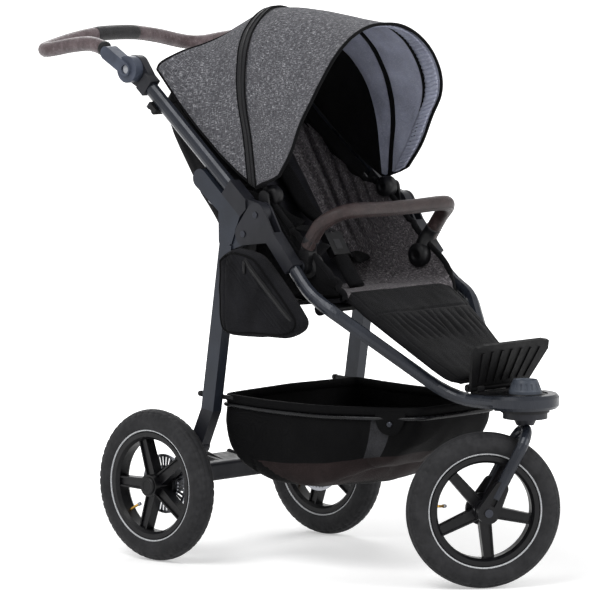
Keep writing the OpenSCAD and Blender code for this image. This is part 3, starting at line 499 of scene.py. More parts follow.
def frames(path, up, closed):
    """Path points with tangent, normal and side vectors that don't twist along it."""
    P = np.asarray(path, float)
    T = unit((np.roll(P, -1, 0) - np.roll(P, 1, 0)) if closed else np.gradient(P, axis=0))
    N = np.zeros_like(T)
    u = np.asarray(up, float)
    n = u - T[0] * (u @ T[0])
    if np.linalg.norm(n) < 1e-6:
        n = np.array([1.0, 0, 0]) - T[0] * T[0][0]
    n /= np.linalg.norm(n)
    for i in range(len(P)):
        n = n - T[i] * (n @ T[i])
        n /= np.linalg.norm(n)
        N[i] = n
    return P, T, N, np.cross(T, N)


def tube(name, path, r, mat, body=None, seg=16, up=(0, 0, 1), closed=False, section=None, scale=None, fixed_up=False):
    """Swept section. section is a list of (a, b) in metres along the up and side directions."""
    P, T, N, B = frames(path, up, closed)
    if fixed_up:
        U = np.asarray(up, float)
        N = unit(U - T * (T @ U)[:, None])
        B = np.cross(T, N)
    if section is None:
        a = np.linspace(0, 2 * np.pi, seg, endpoint=False)
        section = np.stack([np.cos(a), np.sin(a)], 1) * r
    S = np.asarray(section, float)
    k = len(S)
    sc = np.ones(len(P)) if scale is None else np.asarray(scale, float)
    V = (P[:, None] + sc[:, None, None] * (N[:, None] * S[None, :, 0:1] + B[:, None] * S[None, :, 1:2]))
    uv = np.stack(np.meshgrid(run(S), run(P)), 2).reshape(-1, 2)
    return piece(name, V.reshape(-1, 3), rings(len(P), k, closed), mat, body, uv)


def strip(name, path, N, w, t, mat, body=None, bow=0.0, across=None):
    """Flat strap of width w and thickness t along path, lying with face normals N. Edges are rounded."""
    P = np.asarray(path, float)
    N = np.asarray(N, float) * np.ones_like(P)
    T = unit(np.gradient(P, axis=0))
    B = unit(np.cross(T, N) if across is None else np.asarray(across, float) * np.ones_like(P))
    N = np.cross(B, T)
    h, e = w / 2, min(t / 2, w / 6)
    S = [(-h + e, -t / 2), (-h, 0), (-h + e, t / 2), (-h * 0.5, t / 2 + bow), (0, t / 2 + bow * 1.3),
         (h * 0.5, t / 2 + bow), (h - e, t / 2), (h, 0), (h - e, -t / 2), (0, -t / 2)]
    V = np.stack([P + B * q[0] + N * q[1] for q in S], 1)
    n, k = V.shape[:2]
    uv = np.stack([np.array([[q[0] for q in S]] * n), np.repeat(run(P)[:, None], k, 1)], 2).reshape(-1, 2)
    return piece(name, V.reshape(-1, 3), rings(n, k), mat, body, uv)


def revolve(name, profile, centre, axis, mat, body, seg, warp=None):
    """Turns a closed profile of (radius, offset along axis) about an axis. warp(theta) may give its own."""
    A = Vector(axis).normalized()
    E = Vector((0, 0, 1))
    F = A.cross(E).normalized()
    E = F.cross(A).normalized()
    A, E, F, c = (np.array(x) for x in (A, E, F, centre))
    th = np.linspace(0, 2 * np.pi, seg, endpoint=False)
    prof = np.asarray(profile, float)
    k = len(prof)
    R = np.repeat(prof[None, :, 0], seg, 0)
    O = np.repeat(prof[None, :, 1], seg, 0)
    if warp is not None:
        R, O = warp(th)
    D = np.cos(th)[:, None] * E + np.sin(th)[:, None] * F
    V = c + R[..., None] * D[:, None, :] + O[..., None] * A
    uv = np.stack(np.meshgrid(run(prof), th * prof[:, 0].max()), 2).reshape(-1, 2)
    faces = [(a, d, c, b) for a, b, c, d in rings(seg, k, closed=True)]
    return piece(name, V.reshape(-1, 3), faces, mat, body, uv)


def dashes(name, path, N, length, gap, r, mat, body):
    """Stitches: short round threads that lie along a path, sunk at both ends."""
    P, N = np.asarray(path, float), np.asarray(N, float)
    s = run(P)
    V, F = [], []
    at_s = 0.5 * gap
    while at_s + length < s[-1]:
        ring = []
        for k in range(5):
            q = at_s + length * k / 4
            p, n = (np.array([np.interp(q, s, G[:, a]) for a in range(3)]) for G in (P, N))
            ring.append((p + n * r * (0.9 * math.sin(math.pi * k / 4) - 0.3), n))
        base = len(V)
        for k in range(5):
            n = ring[k][1]
            b = np.cross(unit(ring[min(k + 1, 4)][0] - ring[max(k - 1, 0)][0]), n)
            rr = r * (0.55 if k in (0, 4) else 1.0)
            for a in range(6):
                V.append(ring[k][0] + rr * (math.cos(a * math.pi / 3) * n + math.sin(a * math.pi / 3) * b))
        F += rings(5, 6, base=base)
        at_s += length + gap
    return piece(name, V, F, mat, body)


# ---------- canopy ----------

# Right halves of the canopy's arches, from the top down, front to rear.
EDGE_FRONT = [(0, -156, 1072), (50, -157, 1067), (98, -157, 1047), (140, -156, 1013), (172, -150, 968),
              (188, -136, 925), (191, -110, 880), (190, -84, 825), (188, -50, 778)]
ARCH_1 = [(0, -85, 1078), (48, -86, 1072), (94, -88, 1050), (136, -90, 1010), (168, -86, 962),
          (185, -76, 915), (189, -62, 868), (189, -46, 818), (188, -28, 768)]
ARCH_2 = [(0, 0, 1090), (46, -2, 1083), (92, -6, 1058), (134, -14, 1012), (166, -16, 960),
          (184, -14, 910), (189, -12, 862), (189, -8, 812), (188, -4, 760)]
ARCH_3 = [(0, 75, 1096), (44, 72, 1087), (90, 63, 1059), (132, 46, 1014), (164, 30, 962),
          (183, 18, 910), (188, 10, 858), (189, 6, 806), (188, 8, 754)]
ZIP = [(0, 140, 1094), (42, 135, 1083), (89, 123, 1053), (128, 100, 1025), (156, 79, 995),
       (178, 60, 950), (187, 46, 905), (188, 32, 845), (188, 20, 756)]
REAR_1 = [(0, 166, 1085), (44, 160, 1076), (88, 150, 1050), (126, 136, 1020), (154, 122, 985),
          (174, 112, 945), (184, 106, 905), (187, 100, 858), (188, 92, 800)]
REAR_2 = [(0, 188, 1074), (44, 184, 1066), (86, 182, 1045), (122, 182, 1020), (152, 186, 994),
          (172, 190, 965), (183, 193, 938), (187, 196, 912), (188, 196, 885)]
EDGE_REAR = [(0, 194, 1069), (44, 196, 1058), (80, 202, 1041), (118, 222, 1024), (150, 243, 1012),
             (170, 258, 1001), (181, 270, 992), (186, 279, 984), (188, 284, 974)]
# Width across the canopy's cut cloth, metres.
BLEND_FROM = at(0, -246.3, 89.6)
BLEND_TO = at(0, -482.2, 175.4)


def crumple(P, N, amount, size, seed, stretch=(1, 1, 1)):
    """Soft folds: ridged noise, so that valleys are sharper than crests."""
    S = np.array(stretch, float) / size
    out = P.copy()
    for idx in np.ndindex(P.shape[:-1]):
        q = P[idx] * S
        v = wobble(q[0] + seed, q[1] - seed, q[2] + 2 * seed)
        w = wobble(2.1 * q[0] - seed, 2.1 * q[1] + seed, 2.1 * q[2])
        out[idx] = P[idx] + N[idx] * amount * ((1 - 2.4 * abs(v)) * 0.7 + 0.4 * w)
    return out


def canopy_front():
    """Front cloth with its edge, two bow strips and the gathered band inside its front edge."""
    rows, cols = ((84, 180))
    P = surface(mirrored([EDGE_FRONT, ARCH_1, ARCH_2, ARCH_3, ZIP]), rows, cols)
    N = normals(P)
    d = along_rows(P)
    t = d / np.maximum(d[-1:], 1e-6)
    across = np.linspace(-1, 1, cols)[None, :] * np.ones((rows, 1))
    loose = np.clip(1.15 - across ** 8, 0, 1) * np.sin(np.pi * np.clip(t, 0, 1)) ** 0.6
    P = crumple(P, N, 0.0016, 0.075, 3.0) * loose[..., None] + P * (1 - loose[..., None])
    hem = bell(d, 0.030, 0.003) * 0.0011 - bell(d, 0.005, 0.004) * 0.0012
    P = P - N * hem[..., None]
    body = shell("canopy_front_cloth", P, 0.0032, [HEATHER, LINING, CANVAS])
    parts = [body]
    edge = border(P[::-1]) - border(N[::-1]) * 0.0016
    parts.append(tube("canopy_front_piping", edge, 0.0034, CANVAS, seg=8, up=(1, 0, 0)))
    skin = P - N * 0.0036
    first = int(np.argmin(abs(d[:, cols // 2] - 0.046)))
    for k, (i, w) in enumerate(((first, 0.010), (int(rows * 0.52), 0.013))):
        parts.append(strip("canopy_bow_strip_%d" % (k + 1), skin[i] - N[i] * 0.001, -N[i], w, 0.002, CANVAS, bow=0.0018,
                           across=unit(P[i + 1] - P[i])))
    n = cols * 4
    band, last, pitch = [], 7, 0.0105
    for r in range(last + 1):
        want = 0.006 + 0.032 * r / last
        line, norm = (catmull([[np.interp(want, d[:, j], G[:, j, a]) for a in range(3)] for j in range(cols)], n)
                      for G in (skin, N))
        s = run(line)
        jig = np.array([wobble(v * 60, 1.7, r * 0.35) for v in s])
        ripple = np.sin(2 * np.pi * s / pitch + 2.2 * jig) * (0.0016 if 0 < r < last else 0.0007)
        band.append(line - norm * (0.0022 + ripple[:, None]))
    parts.append(shell("canopy_gathered_band", np.array(band)[::-1], -0.0012, LINING))
    for obj in parts:
        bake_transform(obj)
    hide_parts("canopy_front", "canopy_bow")
    return P


def canopy_rear(front):
    """Rear cloth with its edge, and the zip between it and the front cloth."""
    rows, cols = ((46, 180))
    P = surface(mirrored([ZIP, REAR_1, REAR_2, EDGE_REAR]), rows, cols)
    N = normals(P)
    d = along_rows(P)
    t = d / np.maximum(d[-1:], 1e-6)
    loose = np.sin(np.pi * t) ** 0.7
    P = crumple(P, N, 0.0018, 0.07, 9.0) * loose[..., None] + P * (1 - loose[..., None])
    body = shell("canopy_rear_cloth", P, 0.0032, [HEATHER, CANVAS, CANVAS], "chassis")
    tube("canopy_rear_piping", border(P) - border(N) * 0.0016, 0.0032, CANVAS, "chassis", seg=8, up=(1, 0, 0))
    T = unit(front[-1] - front[-2] + P[1] - P[0])
    line = P[0] + N[0] * 0.0016
    strip("canopy_zip_tape", line, N[0], 0.029, 0.0018, TAPE, "chassis", bow=0.0004, across=T)
    for s in (-1, 1):
        strip("canopy_zip_welt_%d" % (s + 2), line + T * 0.0125 * s + N[0] * 0.0010, N[0], 0.0042, 0.0016, CANVAS,
              "chassis", bow=0.0005, across=T)
    n = cols * 8
    coil = catmull(line + N[0] * 0.0016, n)
    cn, ct = catmull(N[0], n), catmull(T, n)
    strip("canopy_zip_coil", coil, cn, 0.0056, 0.0018, BLACK, "chassis", bow=0.0006, across=ct)
    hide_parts("canopy_rear")


canopy_rear(canopy_front())


# ---------- wheels ----------

# Radius of the middle circle of a tyre, radius of its section, fine rings on its walls, lugs round it.
TYRE_CORE, TYRE_SECTION = 0.1265, 0.0248
WALL_RINGS = (0.1335, 0.1315, 0.1215, 0.1150, 0.1065)
LUGS = 54
# Heading of the front axle, which the photograph shows turned to one side.
FRONT_TURN = math.radians(54)


def tyre(node, body, centre, axis, out):
    """Tyre with shoulder blocks, side ribs and a reflective ring on both walls."""
    R0, r0 = TYRE_CORE, TYRE_SECTION
    seg = 288
    ang = np.arange(72) * 2 * math.pi / 72
    flank = np.minimum(abs(np.degrees(ang) - 90), abs(np.degrees(ang) - 270)) < 40
    r = r0 - 0.0004 * flank
    prof = np.stack([R0 + r * np.cos(ang), r * np.sin(ang)], 1)

    def warp(th):
        """Section of the tyre at every angle th, with grooves, shoulder nicks and wall rings cut in."""
        T, A = np.meshgrid(th, ang, indexing="ij")
        A = np.where(A > math.pi, A - 2 * math.pi, A)
        lat = np.abs(A)
        radius = R0 + r0 * np.cos(A)
        sgn = np.sign(A)
        step = T * LUGS + sgn * 1.4 * lat
        groove = bell(np.mod(step / (2 * math.pi), 1), 0.5, 0.10)
        tread = (lat < 1.05) & (lat > 0.30)
        cut = np.where(tread, groove * 0.0018, 0)
        for place, width, depth in ((0.30, 0.05, 0.0018), (0.70, 0.035, 0.0012), (1.08, 0.04, 0.0009)):
            cut = cut + bell(lat, place, width) * depth
        shoulder = (lat >= 1.05) & (lat < 1.30)
        nick = bell(np.mod(step * 2 / (2 * math.pi), 1), 0.5, 0.16)
        cut = cut + np.where(shoulder, nick * 0.0006, 0)
        for m in WALL_RINGS:
            cut = cut + bell(radius, m, 0.0007) * 0.0005 * (lat > 1.2)
        rr = r0 - cut
        return R0 + rr * np.cos(A), rr * np.sin(A)

    obj = revolve(node + "_tread", prof, centre, axis, TYRE, body, seg=seg, warp=warp)
    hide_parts(node)
    for s in (1, -1):
        z = math.sqrt(r0 ** 2 - (0.110 - R0) ** 2)
        rim = [(radius, (z + lift) * s) for radius, lift in (
            (0.1088, -0.0010), (0.1086, -0.0001), (0.1091, 0.0006), (0.1109, 0.0014), (0.1115, 0.0012), (0.1116, 0.0))]
        if s < 0:
            rim = rim[::-1]
        revolve(node + ("_ring_out" if s == out else "_ring_in"), rim, centre, axis, REFLECT, body,
                seg=160)


def valve(name, body, centre, axis, turn):
    """Bent brass stem with a cap, turn degrees round the wheel from the top."""
    turn = math.radians(turn)
    A = Vector(axis).normalized()
    E = Vector((0, 0, 1))
    F = A.cross(E).normalized()
    D = math.cos(turn) * E + math.sin(turn) * F
    c = Vector(centre)
    bend = [c + D * r + A * o for r, o in ((0.0950, 0.0), (0.0880, 0.0015), (0.0820, 0.005), (0.0765, 0.0095))]
    tube(name + "_stem", catmull([tuple(p) for p in bend], 12), 0.0026, BRASS, body, seg=12)
    cap = [tuple(bend[-1] + (bend[-1] - bend[-2]).normalized() * k) for k in (-0.001, 0.006)]
    tube(name + "_cap", cap, 0.0036, STEEL, body, seg=12)


front_hub, rear_r, rear_l = (middle(name) for name in ("front_tyre", "rear_tyre_right", "rear_tyre_left"))
FRONT_AXIS = (math.cos(FRONT_TURN), math.sin(FRONT_TURN), 0)
tyre("front_tyre", "front_wheel", front_hub, FRONT_AXIS, -1)
tyre("rear_tyre_right", "rear_wheel_right", rear_r, (1, 0, 0), -1)
tyre("rear_tyre_left", "rear_wheel_left", rear_l, (1, 0, 0), 1)


# ---------- seat ----------

# Two points on the seat's middle line.
SEAT_FROM, SEAT_TO = at(0, -10, 560), at(0, 60, 650)
# Distance of the seams beside the black back panel from the middle line.
PANEL_HALF = 0.116


def tub_rows():
    """Rows from the front edge of the seat to the top of the backrest: middle (y, z) and top of the side (y, z)."""
    rows = [((-203, 541), (-203, 545)), ((-192, 555), (-197, 563)), ((-150, 556), (-161, 597)),
            ((-100, 551), (-121, 629)), ((-50, 548), (-82, 663)), ((0, 549), (-46, 695)), ((38, 562), (-15, 723)),
            ((66, 600), (14, 742)), ((108, 664), (62, 754)), ((156, 738), (118, 790)), ((202, 806), (172, 834)),
            ((240, 862), (216, 874)), ((262, 897), (242, 905))]
    wide = np.array([0, 40, 80, 113, 136, 150, 157, 162, 164, 165, 164.0])
    flat = np.array([0, 34, 66, 94, 116, 130, 138, 143, 147, 150, 152.0])
    rise = np.array([0, 0, 0, 0.02, 0.08, 0.24, 0.46, 0.66, 0.83, 0.95, 1.0])
    out = []
    for c, s in rows:
        c, s = np.array(c, float), np.array(s, float)
        tall = min(1.0, np.linalg.norm(s - c) / 40)
        xs = flat + (wide - flat) * tall
        out.append([(x, *(c + (s - c) * w)) for x, w in zip(xs, rise)])
    return out


def seat_tub():
    """Seat pad, sides and backrest pad in one, with the side panels' folds, seams and a bound edge."""
    rows, cols = ((150, 168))
    P = surface(mirrored(tub_rows()), rows, cols)
    N = normals(P)
    v = np.linspace(0, 1, rows)[:, None] * np.ones((1, cols))
    reach = np.abs(along_cols(P) - along_cols(P)[:, cols // 2:cols // 2 + 1])
    back = np.clip((v - 0.50) / 0.14, 0, 1) * np.clip((1.02 - v) / 0.12, 0, 1)
    back = back * back * (3 - 2 * back)
    out = P.copy()
    for i, j in np.ndindex(rows, cols):
        p = P[i, j]
        n1 = wobble(p[0] * 5, p[2] * 4, 2.0)
        n2 = wobble(p[0] * 11 + 4, p[1] * 9, p[2] * 7)
        r = reach[i, j]
        fold = abs(math.sin(math.pi * (r / 0.027 + 0.8 * n1 + 1.3 * (v[i, j] - 0.6)))) ** 0.7
        edge = np.clip((r - 0.118) / 0.02, 0, 1)
        h = back[i, j] * edge * (0.0150 * fold - 0.006) * (0.8 + 0.6 * n2) + 0.004 * n1 + 0.0022 * n2
        seam = bell(r, PANEL_HALF, 0.0028) * 0.0026 + bell(r, 0.060, 0.0022) * 0.0016 * back[i, j]
        cross = bell(v[i, j], 0.345, 0.008) * 0.006 + bell(v[i, j], 0.10, 0.006) * 0.0018
        out[i, j] = p + N[i, j] * (h - seam - cross)

    def panel(i, j):
        """3: black back panel."""
        return 3 if v[i, j] > 0.40 and reach[i, j] < PANEL_HALF else 0

    thick = 0.009 - 0.005 * np.clip((reach - 0.118) / 0.03, 0, 1)
    body = shell("seat_liner", out, thick, [HEATHER_SEAT, CANVAS, CANVAS, CANVAS_BACK], side_mat=panel)
    rim = border(out) - border(normals(out)) * 0.0045
    for obj in (body, tube("seat_liner_binding", rim, 0.0058, CANVAS, seg=10, up=(1, 0, 0))):
        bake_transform(obj)
    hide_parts("seat_pad", "seat_sides", "backrest_pad")


def seat_cover():
    """Black outer cover: behind the backrest, round its sides and under the seat."""
    rows = [((316, 907), (236, 910)), ((300, 861), (210, 874)), ((272, 813), (166, 832)), ((240, 759), (112, 788)),
            ((206, 711), (56, 750)), ((172, 660), (8, 738)), ((142, 606), (-20, 716)), ((96, 560), (-50, 680)),
            ((40, 536), (-82, 644)), ((-40, 530), (-116, 606)), ((-120, 533), (-150, 574)), ((-180, 540), (-182, 556))]
    xs = np.array([0, 50, 95, 130, 154, 168, 175, 177, 177.0])
    rise = np.array([0, 0, 0.02, 0.06, 0.16, 0.36, 0.6, 0.82, 1.0])
    half = []
    for k, (c, s) in enumerate(rows):
        c, s = np.array(c, float), np.array(s, float)
        low = np.clip((k - 8) / 3, 0, 1)
        top = np.clip((4 - k) / 3, 0, 1)
        half.append([(x * (1 - 0.12 * low - 0.04 * top), *(c + (s - c) * w)) for x, w in zip(xs, rise)])
    r, c = ((120, 130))
    P = surface(mirrored(half), r, c)
    N = normals(P)
    v = np.linspace(0, 1, r)[:, None, None]
    ease = np.clip(v * 8, 0, 1) * np.clip((1 - v) * 8, 0, 1)
    P = P + (crumple(P, N, 0.0032, 0.11, 5.0, (1, 1.3, 0.55)) - P) * ease
    for seam in (0.085, 0.168):
        P = P - N * (bell(np.abs(P[..., 0]), seam, 0.0022) * 0.0016)[..., None]
    body = shell("seat_cover", P, 0.0026, CANVAS)
    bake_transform(body)
    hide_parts("backrest")


def curtain():
    """Dark cloth from the canopy's rear edge down to the top of the backrest."""
    top = [(x * 0.985, y - 3, z - 4) for x, y, z in EDGE_REAR] + [
        (176, 258, 944), (172, 228, 914), (171, 188, 878), (171, 140, 838), (172, 88, 796), (172, 50, 770)]
    low = [(0, 314, 909), (44, 314, 909), (84, 313, 909), (118, 310, 909), (144, 300, 909), (160, 286, 909),
           (168, 270, 910), (171, 254, 910), (173, 240, 911), (172, 230, 892), (170, 208, 868), (170, 172, 832),
           (170, 122, 790), (170, 76, 758), (170, 44, 742)]
    mid = [tuple(np.array(a) * 0.5 + np.array(b) * 0.5 + (-15 if k > 4 else 0, -6 if k < 6 else 0, -6))
           for k, (a, b) in enumerate(zip(top, low))]
    r, c = ((40, 130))
    P = surface(mirrored([top, mid, low]), r, c)
    N = normals(P)
    t = np.sin(np.pi * np.linspace(0, 1, r))[:, None, None]
    P = P + (crumple(P, N, 0.005, 0.06, 14.0, (1.6, 0.6, 0.5)) - P) * t
    body = shell("canopy_curtain", P, 0.0022, CANVAS)
    tuple(at(0, 215, 1040))
    tuple(at(0, 285, 925))
    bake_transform(body)


def calf_pad():
    """Calf rest's cover: narrows to the nose, with pleats over its middle and a sewn edge."""
    A, B = np.array([-186, 551.0]), np.array([-427, 393.0])
    L = np.linalg.norm(B - A)
    u = (B - A) / L
    n = np.array([u[1], -u[0]])
    rows, cols = ((110, 130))
    t = np.linspace(-0.005, 1, rows)
    s = np.linspace(1, -1, cols)
    hw = np.interp(t, [-0.03, 0.02, 0.22, 0.5, 0.8, 0.93, 0.975, 1.0], [147, 150, 149, 134, 115, 104, 96, 76])
    P = np.zeros((rows, cols, 3))
    low = np.zeros((rows, cols))
    clear = np.clip((t - 0.03) / 0.16, 0, 1) ** 1.4
    for i in range(rows):
        for j in range(cols):
            side = math.sqrt(max(0, 1 - abs(s[j]) ** 7))
            e = side * (math.sqrt(max(0, 1 - abs(2 * t[i] - 1) ** 14)) if t[i] > 0 else 0.25)
            x = hw[i] * s[j]
            env = math.exp(-((t[i] - 0.44) / 0.13) ** 4) * (1 - abs(s[j]) ** 4)
            slant = x + 34 * (t[i] - 0.3) * (1 if x > 0 else -1) + 9 * wobble(x / 60, t[i] * 3, 0.4)
            pleat = abs(math.sin(math.pi * slant / 21.0)) ** 0.6
            up = 2.0 + 13 * e + env * (5.6 * pleat - 3.0)
            up += (2.2 * wobble(x / 48, t[i] * 5.5, 3.1) + wobble(x / 16, t[i] * 12, 5.2)) * e
            up -= 3.5 * bell(s[j], 0, 0.5) * bell(t[i], 0.15, 0.12)
            up -= (2.6 * bell(t[i], 0.27, 0.010) + 2.0 * bell(abs(s[j]), 0.90, 0.012)) * e
            p = A + u * L * t[i] + n * up
            P[i, j] = (x, p[0], p[1])
            low[i, j] = up * (0.4 + 0.6 * clear[i]) + (2.0 + 7.0 * e) * clear[i] + 1.0
    P = at(P)
    body = shell("calf_pad", P[::-1], low[::-1] / 1000, [CANVAS_CALF, CANVAS, CANVAS], "calf_rest")
    N = normals(P[::-1])[::-1]
    tube("calf_pad_piping", border(P) - border(N) * 0.001, 0.0032, CANVAS, "calf_rest", seg=8, up=(1, 0, 0))
    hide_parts("calf_rest")


def harness():
    """Shoulder and waist straps with their pads, and the pad on the crotch strap."""
    for s, side in SIDES:
        path = catmull(at([(47 * s, 196, 800), (48 * s, 146, 742), (44 * s, 96, 688), (34 * s, 44, 664),
                           (20 * s, 6, 660), (11 * s, -12, 654)]), 40)
        pad = strip("shoulder_pad_" + side, path[3:24] + (0, -0.004, 0.004), (0, -0.83, 0.56), 0.046, 0.009, CANVAS,
                    bow=0.002)
        web = strip("shoulder_strap_" + side, path, (0, -0.8, 0.6), 0.025, 0.0018, WEB)
        waist = catmull(at([(22 * s, -24, 634), (52 * s, -8, 606), (96 * s, 18, 590), (140 * s, 34, 594)]), 24)
        strip("waist_strap_" + side, waist, (0, -0.3, 0.95), 0.025, 0.0018, WEB, "chassis")
        hip_pad = strip("waist_pad_" + side, waist[8:] + (0, 0, 0.003), (0, -0.3, 0.95), 0.040, 0.008, CANVAS,
                        "chassis", bow=0.002)
        for obj in (pad, web):
            tuple(at(0, -5, 640))
            tuple(at(0, 62, 694))
            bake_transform(obj)
        if s < 0:
            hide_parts("harness")
    path = catmull(at([(0, -84, 552), (0, -66, 572), (0, -52, 592), (0, -40, 608)]), 16)
    pad = strip("crotch_pad", path, (0, -0.7, 0.7), 0.044, 0.010, CANVAS, "chassis", bow=0.002)
    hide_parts("crotch_strap")


seat_tub()
seat_cover()
curtain()
calf_pad()
harness()


# ---------- basket ----------

# Share of the basket's rows that make its wall. The rest is its floor.
WALL = 0.62


def basket_grid(rows, cols):
    """Grid of the bag, from its rim down the wall and in over the floor."""
    rim = [(0, 99, 334), (60, 99, 333), (120, 99, 332), (165, 98, 331), (186, 90, 331), (190, 60, 330), (190, 0, 328),
           (188, -60, 327), (184, -120, 327), (176, -170, 327), (160, -220, 328), (138, -275, 329), (119, -318, 330),
           (108, -338, 331), (88, -347, 331), (50, -349, 331), (0, -350, 331)]
    low = [(0, -34, 171), (50, -34, 171), (98, -35, 171), (132, -38, 172), (150, -48, 173), (156, -62, 172),
           (157, -84, 171), (156, -106, 172), (152, -128, 177), (145, -150, 184), (134, -170, 193), (118, -186, 201),
           (104, -198, 207), (92, -206, 210), (70, -212, 212), (38, -216, 214), (0, -218, 215)]
    R, B = (loop(np.concatenate([Q, (Q * (-1, 1, 1))[-2:0:-1]]), cols) for Q in np.array([rim, low], float))
    side = np.clip((0.19 - np.abs(np.abs(R[:, 0]) / 1000 - 0.19) - 0.12) / 0.05, 0, 1)
    side = side * np.clip((R[:, 1] + 240) / 90, 0, 1)
    away = R - (0, -110, 0) - (0, 0, 1) * R[:, 2:3]
    away = away / np.linalg.norm(away[:, :2], axis=1, keepdims=True)
    P = []
    for t in np.arange(rows) / (rows - 1):
        if t < WALL:
            q = t / WALL
            a, b = q ** (1.45 + 1.0 * side), np.full(cols, 1 - (1 - q) ** 1.55)
            bulge = math.sin(math.pi * q) ** 0.8
            row = R + (B - R) * np.stack([a, a, b], 1) + away * (7.0 * bulge)
            row[:, 2] -= 3.0 * bulge
        else:
            q = (t - WALL) / (1 - WALL)
            c = np.array([0, -118, 166.0])
            row = B + (c - B) * (q * 0.97)
            row[:, 2] = B[:, 2] + (c[2] - B[:, 2]) * (1 - (1 - q) ** 2)
        P.append(row)
    return at(np.array(P))


def basket():
    """Sagging bag with its hem, the wire under the rim and the two bars to the legs."""
    rows, cols = ((80, 288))
    P = basket_grid(rows, cols)
    N = outward(P, at(0, -110, 300))
    ease = np.clip(np.linspace(0, 1, rows) * 9, 0, 1)[:, None, None]
    P = P + (crumple(P, N, 0.0034, 0.085, 21.0, (1, 1, 0.7)) - P) * ease
    tt = np.linspace(0, 1, rows)[:, None]
    y, x = P[..., 1] - DY, P[..., 0]
    groove = bell(tt, 0.60, 0.006) * 0.002
    for seam in (0.020, -0.235):
        groove = groove + bell(y, seam, 0.0022) * 0.0016 * (np.abs(x) > 0.09) * (tt < 0.6)
    P = P - N * groove[..., None]
    near_side = [j for j in range(cols // 2) if -0.300 < y[0, j] < -0.258]
    corner = (near_side[0], near_side[-1] + 1)

    def panel(i, j):
        """3: mesh patches at the front corners and the rear, 4: brown panel of the lower front."""
        yy, t = y[i, j], i / (rows - 1)
        if 0.02 < t < 0.34 and corner[0] <= min(j, cols - j) < corner[1]:
            return 3
        if 0.02 < t < 0.16 and yy > 0.085 and abs(x[i, j]) < 0.15:
            return 3
        return 4 if t > 0.34 and yy < -0.10 + 0.35 * (WALL - t) else 0

    flip = (normals(P, wrap=True) * N).sum() < 0
    body = shell("basket_bag", P[::-1] if flip else P, 0.0018, [CANVAS_BASKET] * 3 + [MESH, CANVAS_BROWN], "chassis",
                 wrap=True, side_mat=(lambda i, j: panel(rows - 1 - i, j)) if flip else panel)
    top = P[0]
    away = unit((top - at(0, -110, 331)) * (1, 1, 0))
    hem = [(math.cos(a) * 0.0095, math.sin(a) * 0.0042) for a in np.linspace(0, 2 * math.pi, 16, endpoint=False)]
    tube("basket_hem", top + (0, 0, 0.001), 0.005, CANVAS_BASKET, "chassis", closed=True, section=hem, fixed_up=True)
    wire = top + away * 0.0052 + (0, 0, -0.0112)
    rail = tube("basket_rim_wire", wire, 0.0038, WIRE, "chassis", seg=12, closed=True, fixed_up=True)
    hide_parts("basket_rails")
    for s, label in SIDES:
        bar = [(190 * s, 70, 333), (193 * s, 92, 334), (194 * s, 124, 335), (194 * s, 146, 336), (194 * s, 158, 336)]
        tube("basket_bar_" + label, catmull(at(bar), 16), 0.0048, BLACK, "chassis", seg=14)
        tube("basket_bar_cap_" + label, at([(194 * s, 154, 336), (194 * s, 162, 336)]), 0.0062, BLACK, "chassis",
             seg=14, scale=[1, 0.9])
    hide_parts("basket")


basket()


# ---------- pockets ----------

